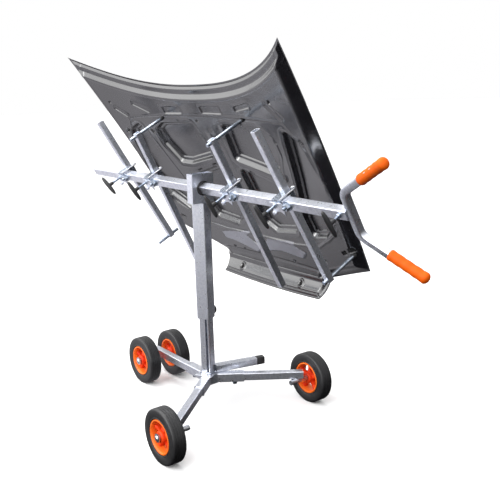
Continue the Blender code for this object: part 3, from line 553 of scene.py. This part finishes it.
def embosses(x, up):
    """Sunk shapes with a raised rim."""
    height = np.zeros(x.shape)
    for middle, size, angle in EMBOSSES:
        away = slab_distance(x, up, middle, size, angle)
        height += EMBOSS_RIM * ridge(away - 0.005, 0.003) - EMBOSS_DEPTH * smooth_step(0.5 - away / 0.006)
    return height


def nearest(distances):
    return np.minimum.reduce(list(distances))


def panel_height(x, up, across, along):
    """Height of the pressed inner panel above the skin, and distances from its holes and plates."""
    height, edge = border_height(x, up, across, along)
    height = windows(well_and_bead(height, x, up, edge), x, up)
    height += spine_and_beam(x, up) + embosses(x, up)
    plate = nearest(polygon_distance(x, up, corners, PLATE_ROUND) for corners in PLATES)
    height += smooth_step(0.5 - plate / 0.006) * (0.004 - 0.10 * (up + 0.41))
    hole = nearest(slab_distance(x, up, middle, size, angle) for middle, size, angle in HOLES)
    # The holes are sunk, not cut through; grid_mesh paints them black as painted shade.
    height -= HOLE_DEPTH * (hole < HOLE_EDGE)
    return height, hole, plate


def grid_mesh(name, points, keep, dark, bright):
    """A sheet from a grid of points; keep, dark and bright say which points show, are painted black as painted
    shade in holes, or get the lighter paint as a painted highlight.
    """
    rows, columns = keep.shape
    index = np.arange(rows * columns).reshape(rows, columns)
    cells = keep[:-1, :-1] | keep[1:, :-1] | keep[:-1, 1:] | keep[1:, 1:]
    quads = np.stack([index[:-1, :-1], index[:-1, 1:], index[1:, 1:], index[1:, :-1]], -1)[cells]
    used = np.unique(quads)
    lookup = np.zeros(rows * columns, int)
    lookup[used] = np.arange(len(used))
    placed = points.reshape(-1, 3)[used]
    mesh = bpy.data.meshes.new(name)
    mesh.from_pydata([TILT @ Vector(p) for p in placed], [], lookup[quads].tolist())
    for material in (MATERIALS["primer"], HOLE_PAINTED_SHADE, PLATE_PAINTED_HIGHLIGHT)[:3 if bright.any() else 2]:
        mesh.materials.append(material)
    # Cells wholly in a hole get the black paint as painted shade; plate cells get the lighter paint as a painted
    # highlight.
    hole_shade_cells = dark[:-1, :-1] & dark[1:, :-1] & dark[:-1, 1:] & dark[1:, 1:]
    index = np.where(hole_shade_cells, 1, np.where(bright[:-1, :-1], 2, 0)).astype(np.int32)
    mesh.polygons.foreach_set("material_index", index[cells])
    mesh.update()
    return mesh


def shifted(points):
    moved = points.copy()
    moved[..., 0] += BONNET_X
    return moved


def bonnet_inner():
    across, along = np.meshgrid(np.linspace(-0.985, 0.985, 420), np.linspace(0.008, 1.0, 300))
    base = skin_point(across, along)
    normal = grid_normals(base)
    height, hole, plate = panel_height(base[..., 0], base[..., 2], across, along)
    sheet = base + normal * (height + SHEET)[..., None]
    mesh = grid_mesh("bonnet_inner_panel", shifted(sheet), height > -0.0004, hole < HOLE_EDGE, plate < 0)
    piece("bonnet_inner_panel", mesh, "primer", "crossbar", ("bonnet_inner_frame",), None)
    mesh.shade_smooth()


CREASE_HEIGHT = 0.0035
CREASE_WIDTH = 0.018
LATCH_HOLES = (-0.205, 0.190)
LATCH_RADIUS = 0.0165
NOSE_LENGTH = 0.105


def bonnet_nose():
    across, drop = np.meshgrid(np.linspace(-0.985, 0.985, 260), np.linspace(0.0, 0.97, 48))
    base = nose_skin_point(across, drop)
    normal = grid_normals(base)
    x = base[..., 0]
    side = (NOSE_HALF + (LIP_HALF - NOSE_HALF) * drop) * (1 - np.abs(across)) - 0.003
    lip = (1 - drop) * NOSE_LENGTH - 0.002
    edge = np.minimum(side, lip)
    height = (PANEL_HEIGHT - 0.003 * drop) * smooth_step(edge / 0.022)
    height -= 0.008 * smooth_step((drop - 0.10) / 0.18) * smooth_step((0.90 - drop) / 0.12)
    height -= 0.006 * ridge(lip - 0.017, 0.0035)
    height = np.maximum(height, 0.0015 * smooth_step(edge / 0.004))
    hole = np.full(x.shape, 1.0)
    for place in LATCH_HOLES:
        away = np.hypot((x - place) / 0.75, (drop - 0.52) * NOSE_LENGTH)
        height += 0.0055 * smooth_step((0.028 - away) / 0.008)
        hole = np.minimum(hole, away - LATCH_RADIUS)
    # The latch holes are sunk, not cut through, and painted black as painted shade.
    height -= HOLE_DEPTH * (hole < 0.0005)
    sheet = base + normal * (height + SHEET)[..., None]
    everywhere = np.ones(x.shape, bool)
    mesh = grid_mesh("bonnet_nose_panel", shifted(sheet), everywhere, hole < 0.0005, ~everywhere)
    piece("bonnet_nose_panel", mesh, "primer", "crossbar", (), None)
    mesh.shade_smooth()


def skin_grid():
    """The outer side with its two creases, the inner side, and which points belong to the sheet."""
    columns = np.unique(np.concatenate([np.linspace(-1, -NOSE, 34), np.linspace(-NOSE, NOSE, 72),
                                        np.linspace(NOSE, 1, 34)]))
    across, along = np.meshgrid(columns, np.linspace(0, 1, 90))
    upper = skin_point(across, along)
    nose_across, drop = np.meshgrid(columns / NOSE, np.linspace(0, 1, 12)[1:])
    lower = nose_skin_point(np.clip(nose_across, -1, 1), drop)
    inner = shifted(np.concatenate([upper, lower]))
    shown = np.concatenate([np.ones(upper.shape[:2], bool), np.abs(nose_across) <= 1 + 1e-9])
    outer = inner.copy()
    x, up = inner[..., 0] - BONNET_X, inner[..., 2]
    crease = CREASE_HEIGHT * ridge(np.abs(x) - (0.40 - 0.10 * (0.3 - up)), CREASE_WIDTH)
    outer[..., 1] += crease * smooth_step((up + 0.50) / 0.1)
    inner[..., 1] -= SHEET
    return outer, inner, shown


def bonnet_skin():
    """The outer skin as one closed sheet."""
    outer, inner, shown = skin_grid()
    cells = shown[:-1, :-1] & shown[1:, :-1] & shown[:-1, 1:] & shown[1:, 1:]
    found = {(int(r), int(c)) for r, c in zip(*np.nonzero(cells))}
    shape = bmesh.new()
    grid = {}

    def corner(r, c, side):
        if (r, c, side) not in grid:
            grid[(r, c, side)] = shape.verts.new((outer, inner)[side][r, c])
        return grid[(r, c, side)]

    for r, c in sorted(found):
        for side in (0, 1):
            shape.faces.new([corner(r + i, c + j, side) for i, j in ((0, 0), (0, 1), (1, 1), (1, 0))])
        for ends, neighbour in ((((0, 0), (0, 1)), (r - 1, c)), (((1, 0), (1, 1)), (r + 1, c)),
                                (((0, 0), (1, 0)), (r, c - 1)), (((0, 1), (1, 1)), (r, c + 1))):
            if neighbour not in found:
                a, b = [(r + i, c + j) for i, j in ends]
                shape.faces.new((corner(*a, 0), corner(*b, 0), corner(*b, 1), corner(*a, 1)))
    piece("bonnet_outer_skin", mesh_from("bonnet_outer_skin", shape, TILT), "primer", "crossbar",
          ("bonnet_skin",))


# ---- wheels --------------------------------------------------------------------------------------
WHEEL_RADIUS = 0.100
WHEEL_HALF = 0.026
RIM_RADIUS = 0.064
SPOKES = 5
SPOKE_SIDES = 16


def tyre_profile():
    """Half of a section, side bead to tread, then mirrored: flat sides, sharp shoulders, flat tread."""
    outer, half = WHEEL_RADIUS, WHEEL_HALF
    side = [(RIM_RADIUS - 0.001, half - 0.006), (RIM_RADIUS + 0.0005, half - 0.0015),
            (RIM_RADIUS + 0.003, half - 0.0002), (RIM_RADIUS + 0.005, half - 0.0012),
            (RIM_RADIUS + 0.0065, half - 0.0004), (outer - 0.010, half),
            (outer - 0.0055, half - 0.0002), (outer - 0.0028, half - 0.0012),
            (outer - 0.0010, half - 0.0030), (outer - 0.0002, half - 0.0055)]
    tread = []
    for place in (0.014, 0.005):
        tread += [(outer, place + 0.0012), (outer - 0.0012, place + 0.0006),
                  (outer - 0.0012, place - 0.0006), (outer, place - 0.0012)]
    upper = side + tread
    return upper + [(r, -z) for r, z in reversed(upper)] + [(RIM_RADIUS - 0.001, 0)]


def rim_profile():
    """Section of the rim's outer band."""
    outer, half = RIM_RADIUS - 0.0015, WHEEL_HALF - 0.001
    lip = [(outer, half - 0.0035), (outer - 0.001, half - 0.0005), (outer - 0.005, half + 0.0002),
           (outer - 0.0068, half - 0.002), (outer - 0.0085, half - 0.007), (outer - 0.0095, 0)]
    return lip + [(r, -z) for r, z in reversed(lip[:-1])]


def hub_profile():
    half = WHEEL_HALF - 0.001
    return rounded([(0.0108, half - 0.001), (0.0195, half - 0.001), (0.0225, half - 0.006),
                    (0.0235, 0.0), (0.0225, 0.006 - half), (0.0195, 0.001 - half),
                    (0.0108, 0.001 - half)], 0.002)


def wheel(name):
    body = f"wheel_{name}"
    matrix = axis_matrix(Vector(JOINTS[f"wheel_{name}_spin"]["pos_m"]), (0, -1, 0))
    shape = bmesh.new()
    ring(shape, tyre_profile(), 96, matrix)
    piece(f"tyre_detail_{name}", mesh_from("tyre", shape), "tyre", body, (f"tyre_{name}",), 32.0)

    shape = bmesh.new()
    ring(shape, rim_profile(), 96, matrix)
    piece(f"rim_detail_{name}", mesh_from("rim", shape), "rim_orange", body, (f"rim_{name}",), 38.0)

    shape = bmesh.new()
    ring(shape, hub_profile(), 64, matrix)
    for index in range(SPOKES):
        spoke(shape, matrix @ Matrix.Rotation(2 * math.pi * (index + 0.25) / SPOKES, 4, "Z"))
    spokes = mesh_from("rim_spokes", shape)
    spokes.materials.append(SPOKE_ORANGE)
    piece(f"rim_spokes_{name}", spokes, "rim_orange", body, (), 38.0)


def spoke(shape, matrix):
    """One spoke with flared ends and rounded edges."""
    rows = 9
    inner, outer = 0.0195, RIM_RADIUS - 0.009
    loops = []
    for row in range(rows):
        t = row / (rows - 1)
        width = 0.0068 * (1 + 0.75 * abs(2 * t - 1) ** 3)
        deep = 0.0125 - 0.0035 * math.sin(math.pi * t)
        loop = []
        for corner in range(SPOKE_SIDES):
            angle = 2 * math.pi * (corner + 0.5) / SPOKE_SIDES
            cos, sin = math.cos(angle), math.sin(angle)
            loop.append(shape.verts.new((inner + (outer - inner) * t,
                                         width * math.copysign(abs(cos) ** 0.45, cos),
                                         deep * math.copysign(abs(sin) ** 0.45, sin))))
        loops.append(loop)
    join_loops(shape, loops)
    bmesh.ops.transform(shape, matrix=matrix, verts=[v for loop in loops for v in loop])


# ---- screws, grips, handle -----------------------------------------------------------------------
T_TURNS = {"spare": 29.0, "left": 18.0, "middle": 6.0, "right": 12.0, "handle": 10.0}
T_HALF = 0.0475
T_RADIUS = 0.0088
T_REACH = 0.069                 # from a clamp's wall to the T handle's middle
HANDLE_T_REACH = 0.046          # the same at the handle's own screw, from the crossbar's face
THREAD_PITCH = 0.0016
THREAD_DEPTH = 0.0009
STUD_RADIUS = 0.0049


def t_matrix(name):
    """The screw's axis away from the panel, turned as far as this T stands."""
    matrix = axis_matrix(Vector(JOINTS[f"t_screw_{name}_turn"]["pos_m"]),
                         TILT.to_3x3() @ Vector((0, -1, 0)))
    side = matrix.to_3x3().inverted() @ (TILT.to_3x3() @ Vector((0, 0, 1)))
    roll = math.atan2(side.y, side.x) + math.radians(T_TURNS[name])
    return matrix @ Matrix.Rotation(roll, 4, "Z")


def t_handle(name, matrix, middle):
    shape = bmesh.new()
    profile = []
    for step in range(25):
        t = -1 + 2 * step / 24
        width = T_RADIUS * (1 - 0.42 * abs(t) ** 2.2) * math.sqrt(max(1 - abs(t) ** 9, 0))
        profile.append((width if abs(t) < 1 else 0, T_HALF * t))
    across = Matrix.Translation((0, 0, middle)) @ Matrix.Rotation(math.pi / 2, 4, "Y")
    turned(shape, profile, 32, matrix @ across)
    boss = rounded([(0, middle - 0.024), (0.0072, middle - 0.024), (0.0082, middle - 0.010),
                    (T_RADIUS, middle), (0, middle)], 0.0015)
    turned(shape, boss, 32, matrix)
    piece(f"t_handle_{name}", mesh_from("t_handle", shape), "black_plastic", f"t_screw_{name}",
          (f"t_screw_{name}",))


def t_stud(name, matrix, seat, end):
    """The threaded stud with its hexagonal collar."""
    shape = bmesh.new()
    root = STUD_RADIUS - THREAD_DEPTH
    place = seat - 0.012
    profile = [(0, place)]
    while place < end:
        profile += [(root, place), (STUD_RADIUS, place + THREAD_PITCH * 0.35),
                    (STUD_RADIUS, place + THREAD_PITCH * 0.55), (root, place + THREAD_PITCH * 0.9)]
        place += THREAD_PITCH
    profile.append((0, place))
    turned(shape, profile, 24, matrix)
    collar = rounded([(0.0048, seat), (0.0088, seat), (0.0088, seat + 0.008), (0.0048, seat + 0.008)],
                     0.001)
    turned(shape, collar, 6, matrix)
    piece(f"t_stud_{name}", mesh_from("t_stud", shape), "zinc_blue", f"t_screw_{name}")


def t_screw(name, seat, middle):
    """T handle on a threaded stud; it points away from the panel."""
    matrix = t_matrix(name)
    t_handle(name, matrix, middle)
    t_stud(name, matrix, seat, middle - 0.022)


GRIP_LENGTH = 0.138
GRIP_RADIUS = 0.018
GRIP_DOME = 0.0135


def grip(node, direction):
    """Moulded grip with a domed end and shallow finger waves."""
    low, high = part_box(node)
    middle = (low + high) / 2
    start = -GRIP_LENGTH / 2
    profile = [(0.0130, start + 0.006), (0.0132, start + 0.001), (0.0148, start),
               (0.0168, start + 0.0012), (0.0178, start + 0.004)]
    for step in range(1, 20):
        t = step / 20
        wave = 0.0005 * math.cos(2 * math.pi * t * 4)
        waist = 0.0006 * math.sin(math.pi * t)
        profile.append((GRIP_RADIUS - waist + wave - 0.0005,
                        start + 0.004 + (GRIP_LENGTH - 0.018) * t))
    for step in range(9):
        angle = math.pi / 2 * step / 8
        profile.append((GRIP_RADIUS * math.cos(angle) if step < 8 else 0,
                        GRIP_LENGTH / 2 - GRIP_DOME + GRIP_DOME * math.sin(angle)))
    shape = bmesh.new()
    turned(shape, profile, 56, axis_matrix(middle, direction))
    piece(f"{node}_moulded", mesh_from(f"{node}_mesh", shape), "grip_orange", "handle", (node,), 50.0)


HANDLE_TUBE = 0.025
HANDLE_SPLAY = math.radians(30.0)
HANDLE_ARM = 0.230
HANDLE_BEND_HEIGHT = 0.078
HANDLE_BEND_RADIUS = 0.035


def swept(shape, outline, frames, matrix):
    """An outline carried along frames."""
    loops = [[shape.verts.new(place @ Vector((x, y, 0))) for x, y in outline] for place in frames]
    join_loops(shape, loops)
    bmesh.ops.transform(shape, matrix=matrix, verts=[v for loop in loops for v in loop])


def rounded_square(size, radius):
    steps = 4
    points = []
    half = size / 2 - radius
    for corner, (sx, sy) in enumerate(((1, 1), (-1, 1), (-1, -1), (1, -1))):
        for step in range(steps + 1):
            angle = math.pi / 2 * (corner + step / steps)
            points.append((sx * half + radius * math.cos(angle), sy * half + radius * math.sin(angle)))
    return points


def handle_path():
    """Points (x, up) from the upper end through both bends to the lower end."""
    middle = CROSSBAR_RIGHT + SLIDE_GAP + HANDLE_TUBE / 2
    turn = math.pi / 2 - HANDLE_SPLAY
    setback = HANDLE_BEND_RADIUS * math.tan(turn / 2)
    path = []
    for step in range(6):
        reach = HANDLE_ARM * (1 - step / 6)
        if reach > setback * 1.3:
            path.append((middle + reach * math.cos(HANDLE_SPLAY),
                         HANDLE_BEND_HEIGHT + reach * math.sin(HANDLE_SPLAY)))
    steps = 12
    for step in range(steps + 1):
        angle = math.pi - turn * (1 - step / steps)
        path.append((middle + HANDLE_BEND_RADIUS * (1 + math.cos(angle)),
                     HANDLE_BEND_HEIGHT - setback + HANDLE_BEND_RADIUS * math.sin(angle)))
    return path + [(x, -up) for x, up in reversed(path)]


def handle_bar():
    """The handle's square tube with smooth bends."""
    path = handle_path()
    side = Vector((0, 1, 0))
    frames = []
    for index, (x, up) in enumerate(path):
        before = Vector(path[max(index - 1, 0)])
        after = Vector(path[min(index + 1, len(path) - 1)])
        along = (after - before).normalized()
        direction = Vector((along.x, 0, along.y))
        basis = Matrix((side.cross(direction), side, direction)).transposed().to_4x4()
        frames.append(Matrix.Translation((x, 0, up)) @ basis)
    shape = bmesh.new()
    swept(shape, rounded_square(HANDLE_TUBE, 0.004), frames, TILT)
    piece("handle_bent_tube", mesh_from("handle_bent_tube", shape), "zinc", "handle", ("handle_bar",),
          30.0)


# ---- clamp fittings -------------------------------------------------------------------------------
CLAMPS = {                      # name: (place on the crossbar, body that carries it, nut's distance)
    "spare": (-0.590, "spare_clamp", 0.034),
    "left": (-0.362, "crossbar", 0.047),
    "middle": (0.187, "crossbar", 0.049),
    "right": (0.481, "crossbar", 0.048),
}
CLAMP_PLATE = ((-0.033, 0.011), (0.030, 0.011), (0.031, -0.012), (0.025, -0.036), (0.008, -0.023),
               (-0.012, -0.026), (-0.024, -0.040), (-0.036, -0.030), (-0.029, -0.014))
FRONT_PLATE = 0.0032
CHEEK = 0.003
CHEEK_HALF = 0.0215
HOOK_ROD = 0.0065
HOOK_ACROSS = 0.0265
HOOK_BEND = 0.009


def slab(shape, outline, low, high, matrix):
    """An outline in the (x, up) plane, thick from low to high along the panel's normal."""
    front = [shape.verts.new((x, low, up)) for x, up in outline]
    back = [shape.verts.new((x, high, up)) for x, up in outline]
    faces = [shape.faces.new(front), shape.faces.new(back)]
    for i in range(len(outline)):
        j = (i + 1) % len(outline)
        faces.append(shape.faces.new((front[i], front[j], back[j], back[i])))
    bmesh.ops.recalc_face_normals(shape, faces=faces)
    edges = list({edge for face in faces[:2] for edge in face.edges})
    made = bmesh.ops.bevel(shape, geom=edges, offset=0.0006, segments=2, affect="EDGES")["verts"]
    bmesh.ops.transform(shape, matrix=matrix, verts=list({*made, *front, *back} & set(shape.verts)))


def rod_along(shape, points, diameter, matrix):
    """A round rod through points."""
    sides = 16
    frames = []
    for index, point in enumerate(points):
        before = Vector(points[max(index - 1, 0)])
        after = Vector(points[min(index + 1, len(points) - 1)])
        frames.append(Matrix.Translation(point) @ (after - before).to_track_quat("Z", "X").to_matrix()
                      .to_4x4())
    circle = [(diameter / 2 * math.cos(2 * math.pi * i / sides),
               diameter / 2 * math.sin(2 * math.pi * i / sides)) for i in range(sides)]
    swept(shape, circle, frames, matrix)


def hex_head(shape, matrix, across, height, washer):
    """A hex head or nut standing on the local plane, chamfered, with a washer under it."""
    radius = across / math.sqrt(3)
    turned(shape, rounded([(0, 0.0), (across * 0.78, 0.0), (across * 0.78, washer), (0, washer)],
                          0.0004, 2), 32, matrix)
    head = [(0, washer), (radius * 0.96, washer), (radius, washer + 0.0006),
            (radius, washer + height - 0.0012), (radius * 0.86, washer + height), (0, washer + height)]
    turned(shape, head, 6, matrix)


def clamp_plate(name, body, here, nut):
    """The front plate with its bolt, and the cheek beside the nut."""
    shape = bmesh.new()
    slab(shape, CLAMP_PLATE, -CLAMP_FACE - FRONT_PLATE, -CLAMP_FACE, here)
    near, far = nut - 0.010, nut - 0.010 - CHEEK
    cheek = ((far, CHEEK_HALF), (near, CHEEK_HALF), (near, 0.0015 - CHEEK_HALF), (far, 0.0015 - CHEEK_HALF))
    slab(shape, cheek, -CLAMP_FACE - 0.002, CLAMP_FACE - 0.004, here)
    bolt = here @ axis_matrix((-0.024, -CLAMP_FACE - FRONT_PLATE, -0.029), (0, -1, 0))
    hex_head(shape, bolt, 0.013, 0.0065, 0.0016)
    piece(f"clamp_plate_{name}", mesh_from("clamp_plate", shape), "zinc", body, (), 30.0)


def clamp_hook(name, body, here):
    shape = bmesh.new()
    across, up = HOOK_ACROSS, CLAMP_FACE + HOOK_ROD / 2 + 0.0008
    path = [(across, -0.024, up), (across, 0.0, up), (across, 0.030, up), (across + 0.002, 0.044, up)]
    for step in range(1, 9):
        angle = math.pi * step / 8
        path.append((across - 0.007 + HOOK_BEND * math.cos(angle),
                     0.046 + HOOK_BEND * math.sin(angle), up))
    rod_along(shape, path, HOOK_ROD, here)
    piece(f"clamp_hook_{name}", mesh_from("clamp_hook", shape), "steel", body, (), 40.0)


def clamp_nut(name, body, here, nut):
    shape = bmesh.new()
    seat = here @ axis_matrix((nut, -CLAMP_FACE + 0.004, 0.002), (0, -1, 0))
    hex_head(shape, seat, 0.024, 0.013, 0.0022)
    stud = rounded([(0, 0.012), (0.0058, 0.012), (0.0058, 0.023), (0, 0.0245)], 0.001, 3)
    turned(shape, stud, 24, seat)
    piece(f"clamp_nut_{name}", mesh_from("clamp_nut", shape), "zinc_blue", body, (), 30.0)


def clamp_fittings(name):
    """The bolted front plate, the J hook round the arm and the nut that draws it tight."""
    place, body, nut = CLAMPS[name]
    here = TILT @ Matrix.Translation((place, 0, 0))
    clamp_plate(name, body, here, nut)
    clamp_hook(name, body, here)
    clamp_nut(name, body, here, nut)


# ---- base fittings --------------------------------------------------------------------------------
HUB_TOP = 0.1432                # top face of the hub and the sleeves
FOOT_PLATE = 0.003
FOOT_LIFT = 0.0018              # middle of the foot's plates above the hub
FOOT_FRONT = -0.036             # middle of its front strip, from the post's axis
FOOT_EDGE = 0.0008
SLEEVE_REACH = 0.1385
SLEEVE_HEIGHT = 0.1253
SLEEVE_OUTSIDE = 0.0382
SLEEVE_INSIDE = 0.0318
SLEEVE_LIP = (-0.0015, 0.0017)  # along the sleeve, before and past its end


def base_fittings():
    """The welded strips at the post's foot with two bolts."""
    shape = bmesh.new()
    foot = POST @ Matrix.Translation((0, 0, HUB_TOP))
    for across in (-0.031, 0.031):
        box(shape, (0.006, 0.040, FOOT_PLATE), (across, 0.0, FOOT_LIFT), FOOT_EDGE, foot)
    box(shape, (0.074, 0.020, FOOT_PLATE), (0.0, FOOT_FRONT, FOOT_LIFT), FOOT_EDGE, foot)
    for across in (-0.006, 0.012):
        bolt = foot @ Matrix.Translation((across, FOOT_FRONT, FOOT_LIFT + FOOT_PLATE / 2))
        hex_head(shape, bolt, 0.010, 0.0045, 0.001)
    piece("hub_foot_plate", mesh_from("hub_foot_plate", shape), "zinc", "base", (), 30.0)


def sleeve_lips():
    """A rolled lip at the open end of each leg sleeve."""
    for name in ("front_left", "front_right", "rear"):
        low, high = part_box(f"leg_screw_{name}")
        screw = (low + high) / 2
        out = Vector((screw.x - TILT_POINT.x, screw.y - TILT_POINT.y, 0)).normalized()
        middle = Vector((TILT_POINT.x, TILT_POINT.y, SLEEVE_HEIGHT)) + out * SLEEVE_REACH
        shape = bmesh.new()
        frame_here = axis_matrix(middle, out)
        up = frame_here.to_3x3().inverted() @ Vector((0, 0, 1))
        turn = Matrix.Rotation(math.atan2(up.y, up.x), 4, "Z")
        outer, inner = rounded_square(SLEEVE_OUTSIDE, 0.004), rounded_square(SLEEVE_INSIDE, 0.002)
        before, past = SLEEVE_LIP
        loops = []
        for outline, deep in ((outer, before), (outer, past), (inner, past), (inner, before)):
            loops.append([shape.verts.new((x, y, deep)) for x, y in outline])
        count = len(outer)
        for a, b in zip(loops, loops[1:] + loops[:1]):
            for i in range(count):
                j = (i + 1) % count
                shape.faces.new((a[i], a[j], b[j], b[i]))
        piece(f"sleeve_lip_{name}", mesh_from("sleeve_lip", shape, frame_here @ turn), "zinc", "base", (),
              30.0)


# ---- stage ---------------------------------------------------------------------------------------
def area_light(name, place, target, size, power):
    data = bpy.data.lights.new(name, "AREA")
    data.size = size
    data.energy = power
    item = bpy.data.objects.new(name, data)
    item.location = place
    away = Vector(target) - Vector(place)
    item.rotation_euler = away.to_track_quat("-Z", "Y").to_euler()
    bpy.context.scene.collection.objects.link(item)


def studio_world():
    """White behind the object; a tent bright in front, above and to the left lights it."""
    world = bpy.data.worlds.new("studio")
    bpy.context.scene.world = world
    world.use_nodes = True
    tree = world.node_tree
    background = tree.nodes["Background"]
    axes = tree.nodes.new("ShaderNodeSeparateXYZ")
    place = tree.nodes.new("ShaderNodeTexCoord")
    tree.links.new(place.outputs["Generated"], axes.inputs["Vector"])
    x, y, z = axes.outputs
    front = ramp(tree, y, -0.62, 0.50, 2.0, 0.14)
    left = ramp(tree, x, -0.9, 0.9, 0.50, 0.0)
    above = ramp(tree, z, 0.35, 0.80, 0.0, 0.45)
    tent = arithmetic(tree, "ADD", arithmetic(tree, "ADD", front, left), above)
    background.inputs["Color"].default_value = (1, 1, 1, 1)
    camera_ray = tree.nodes.new("ShaderNodeLightPath").outputs["Is Camera Ray"]
    shown = arithmetic(tree, "MAXIMUM", tent, camera_ray)
    tree.links.new(shown, background.inputs["Strength"])


def studio_floor():
    """Plain pale to the camera; in reflections it fades from bright on the left to dark on the right."""
    bpy.ops.mesh.primitive_circle_add(vertices=96, radius=30.0, fill_type="NGON", location=(0, 0, 0))
    floor = bpy.context.object
    floor.name = "studio_floor"
    paint = Paint("studio_floor", (0.95, 0.95, 0.95), 0.95)
    tree = paint.tree
    axes = tree.nodes.new("ShaderNodeSeparateXYZ")
    tree.links.new(paint.place, axes.inputs["Vector"])
    glow = tree.nodes.new("ShaderNodeEmission")
    glow.inputs["Color"].default_value = (0.96, 0.94, 1.0, 1.0)
    across = ramp(tree, axes.outputs["X"], -0.95, 0.10, 0.78, 0.015)
    tree.links.new(across, glow.inputs["Strength"])
    mix = tree.nodes.new("ShaderNodeMixShader")
    tree.links.new(tree.nodes.new("ShaderNodeLightPath").outputs["Is Camera Ray"], mix.inputs[0])
    tree.links.new(glow.outputs[0], mix.inputs[1])
    tree.links.new(paint.shader.outputs[0], mix.inputs[2])
    tree.links.new(mix.outputs[0], tree.nodes["Material Output"].inputs["Surface"])
    floor.data.materials.append(paint.made)


def studio():
    bpy.context.scene.view_settings.view_transform = "Standard"
    studio_world()
    studio_floor()
    area_light("key", (0.6, -3.4, 2.4), (0, 0, 0.7), 1.8, 55)
    area_light("top", (-0.9, 0.0, 3.2), (0, 0, 0.4), 2.2, 75)


def camera():
    data = bpy.data.cameras.new("photo_camera")
    data.lens = LENS
    data.sensor_width = 36.0
    data.shift_x, data.shift_y = SHIFT
    data.clip_end = 60.0
    item = bpy.data.objects.new("photo_camera", data)
    ahead = Vector((math.cos(CAMERA_PITCH) * math.cos(CAMERA_HEADING),
                    math.cos(CAMERA_PITCH) * math.sin(CAMERA_HEADING), math.sin(CAMERA_PITCH)))
    level = ahead.to_track_quat("-Z", "Y").to_matrix().to_4x4()
    turn = level @ Matrix.Rotation(CAMERA_ROLL, 4, "Z")
    item.matrix_world = Matrix.Translation(CAMERA_PLACE) @ turn
    bpy.context.scene.collection.objects.link(item)
    bpy.context.scene.camera = item


def main():
    camera()
    studio()
    finish_nodes()
    bonnet_skin()
    bonnet_inner()
    bonnet_nose()
    for name in ("front_left", "front_right", "rear_outer", "rear_inner"):
        wheel(name)
    for name in ("left", "middle", "right", "spare"):
        t_screw(name, CLAMP_FACE, CROSSBAR_HALF + CLAMP_WALL + T_REACH)
    t_screw("handle", CROSSBAR_HALF + SLIDE_GAP, CROSSBAR_HALF + HANDLE_T_REACH)
    for node, sign in (("grip_upper", 1), ("grip_lower", -1)):
        grip(node, TILT.to_3x3() @ Vector((math.cos(HANDLE_SPLAY), 0, sign * math.sin(HANDLE_SPLAY))))
    handle_bar()
    for name in CLAMPS:
        clamp_fittings(name)
    base_fittings()
    sleeve_lips()


main()
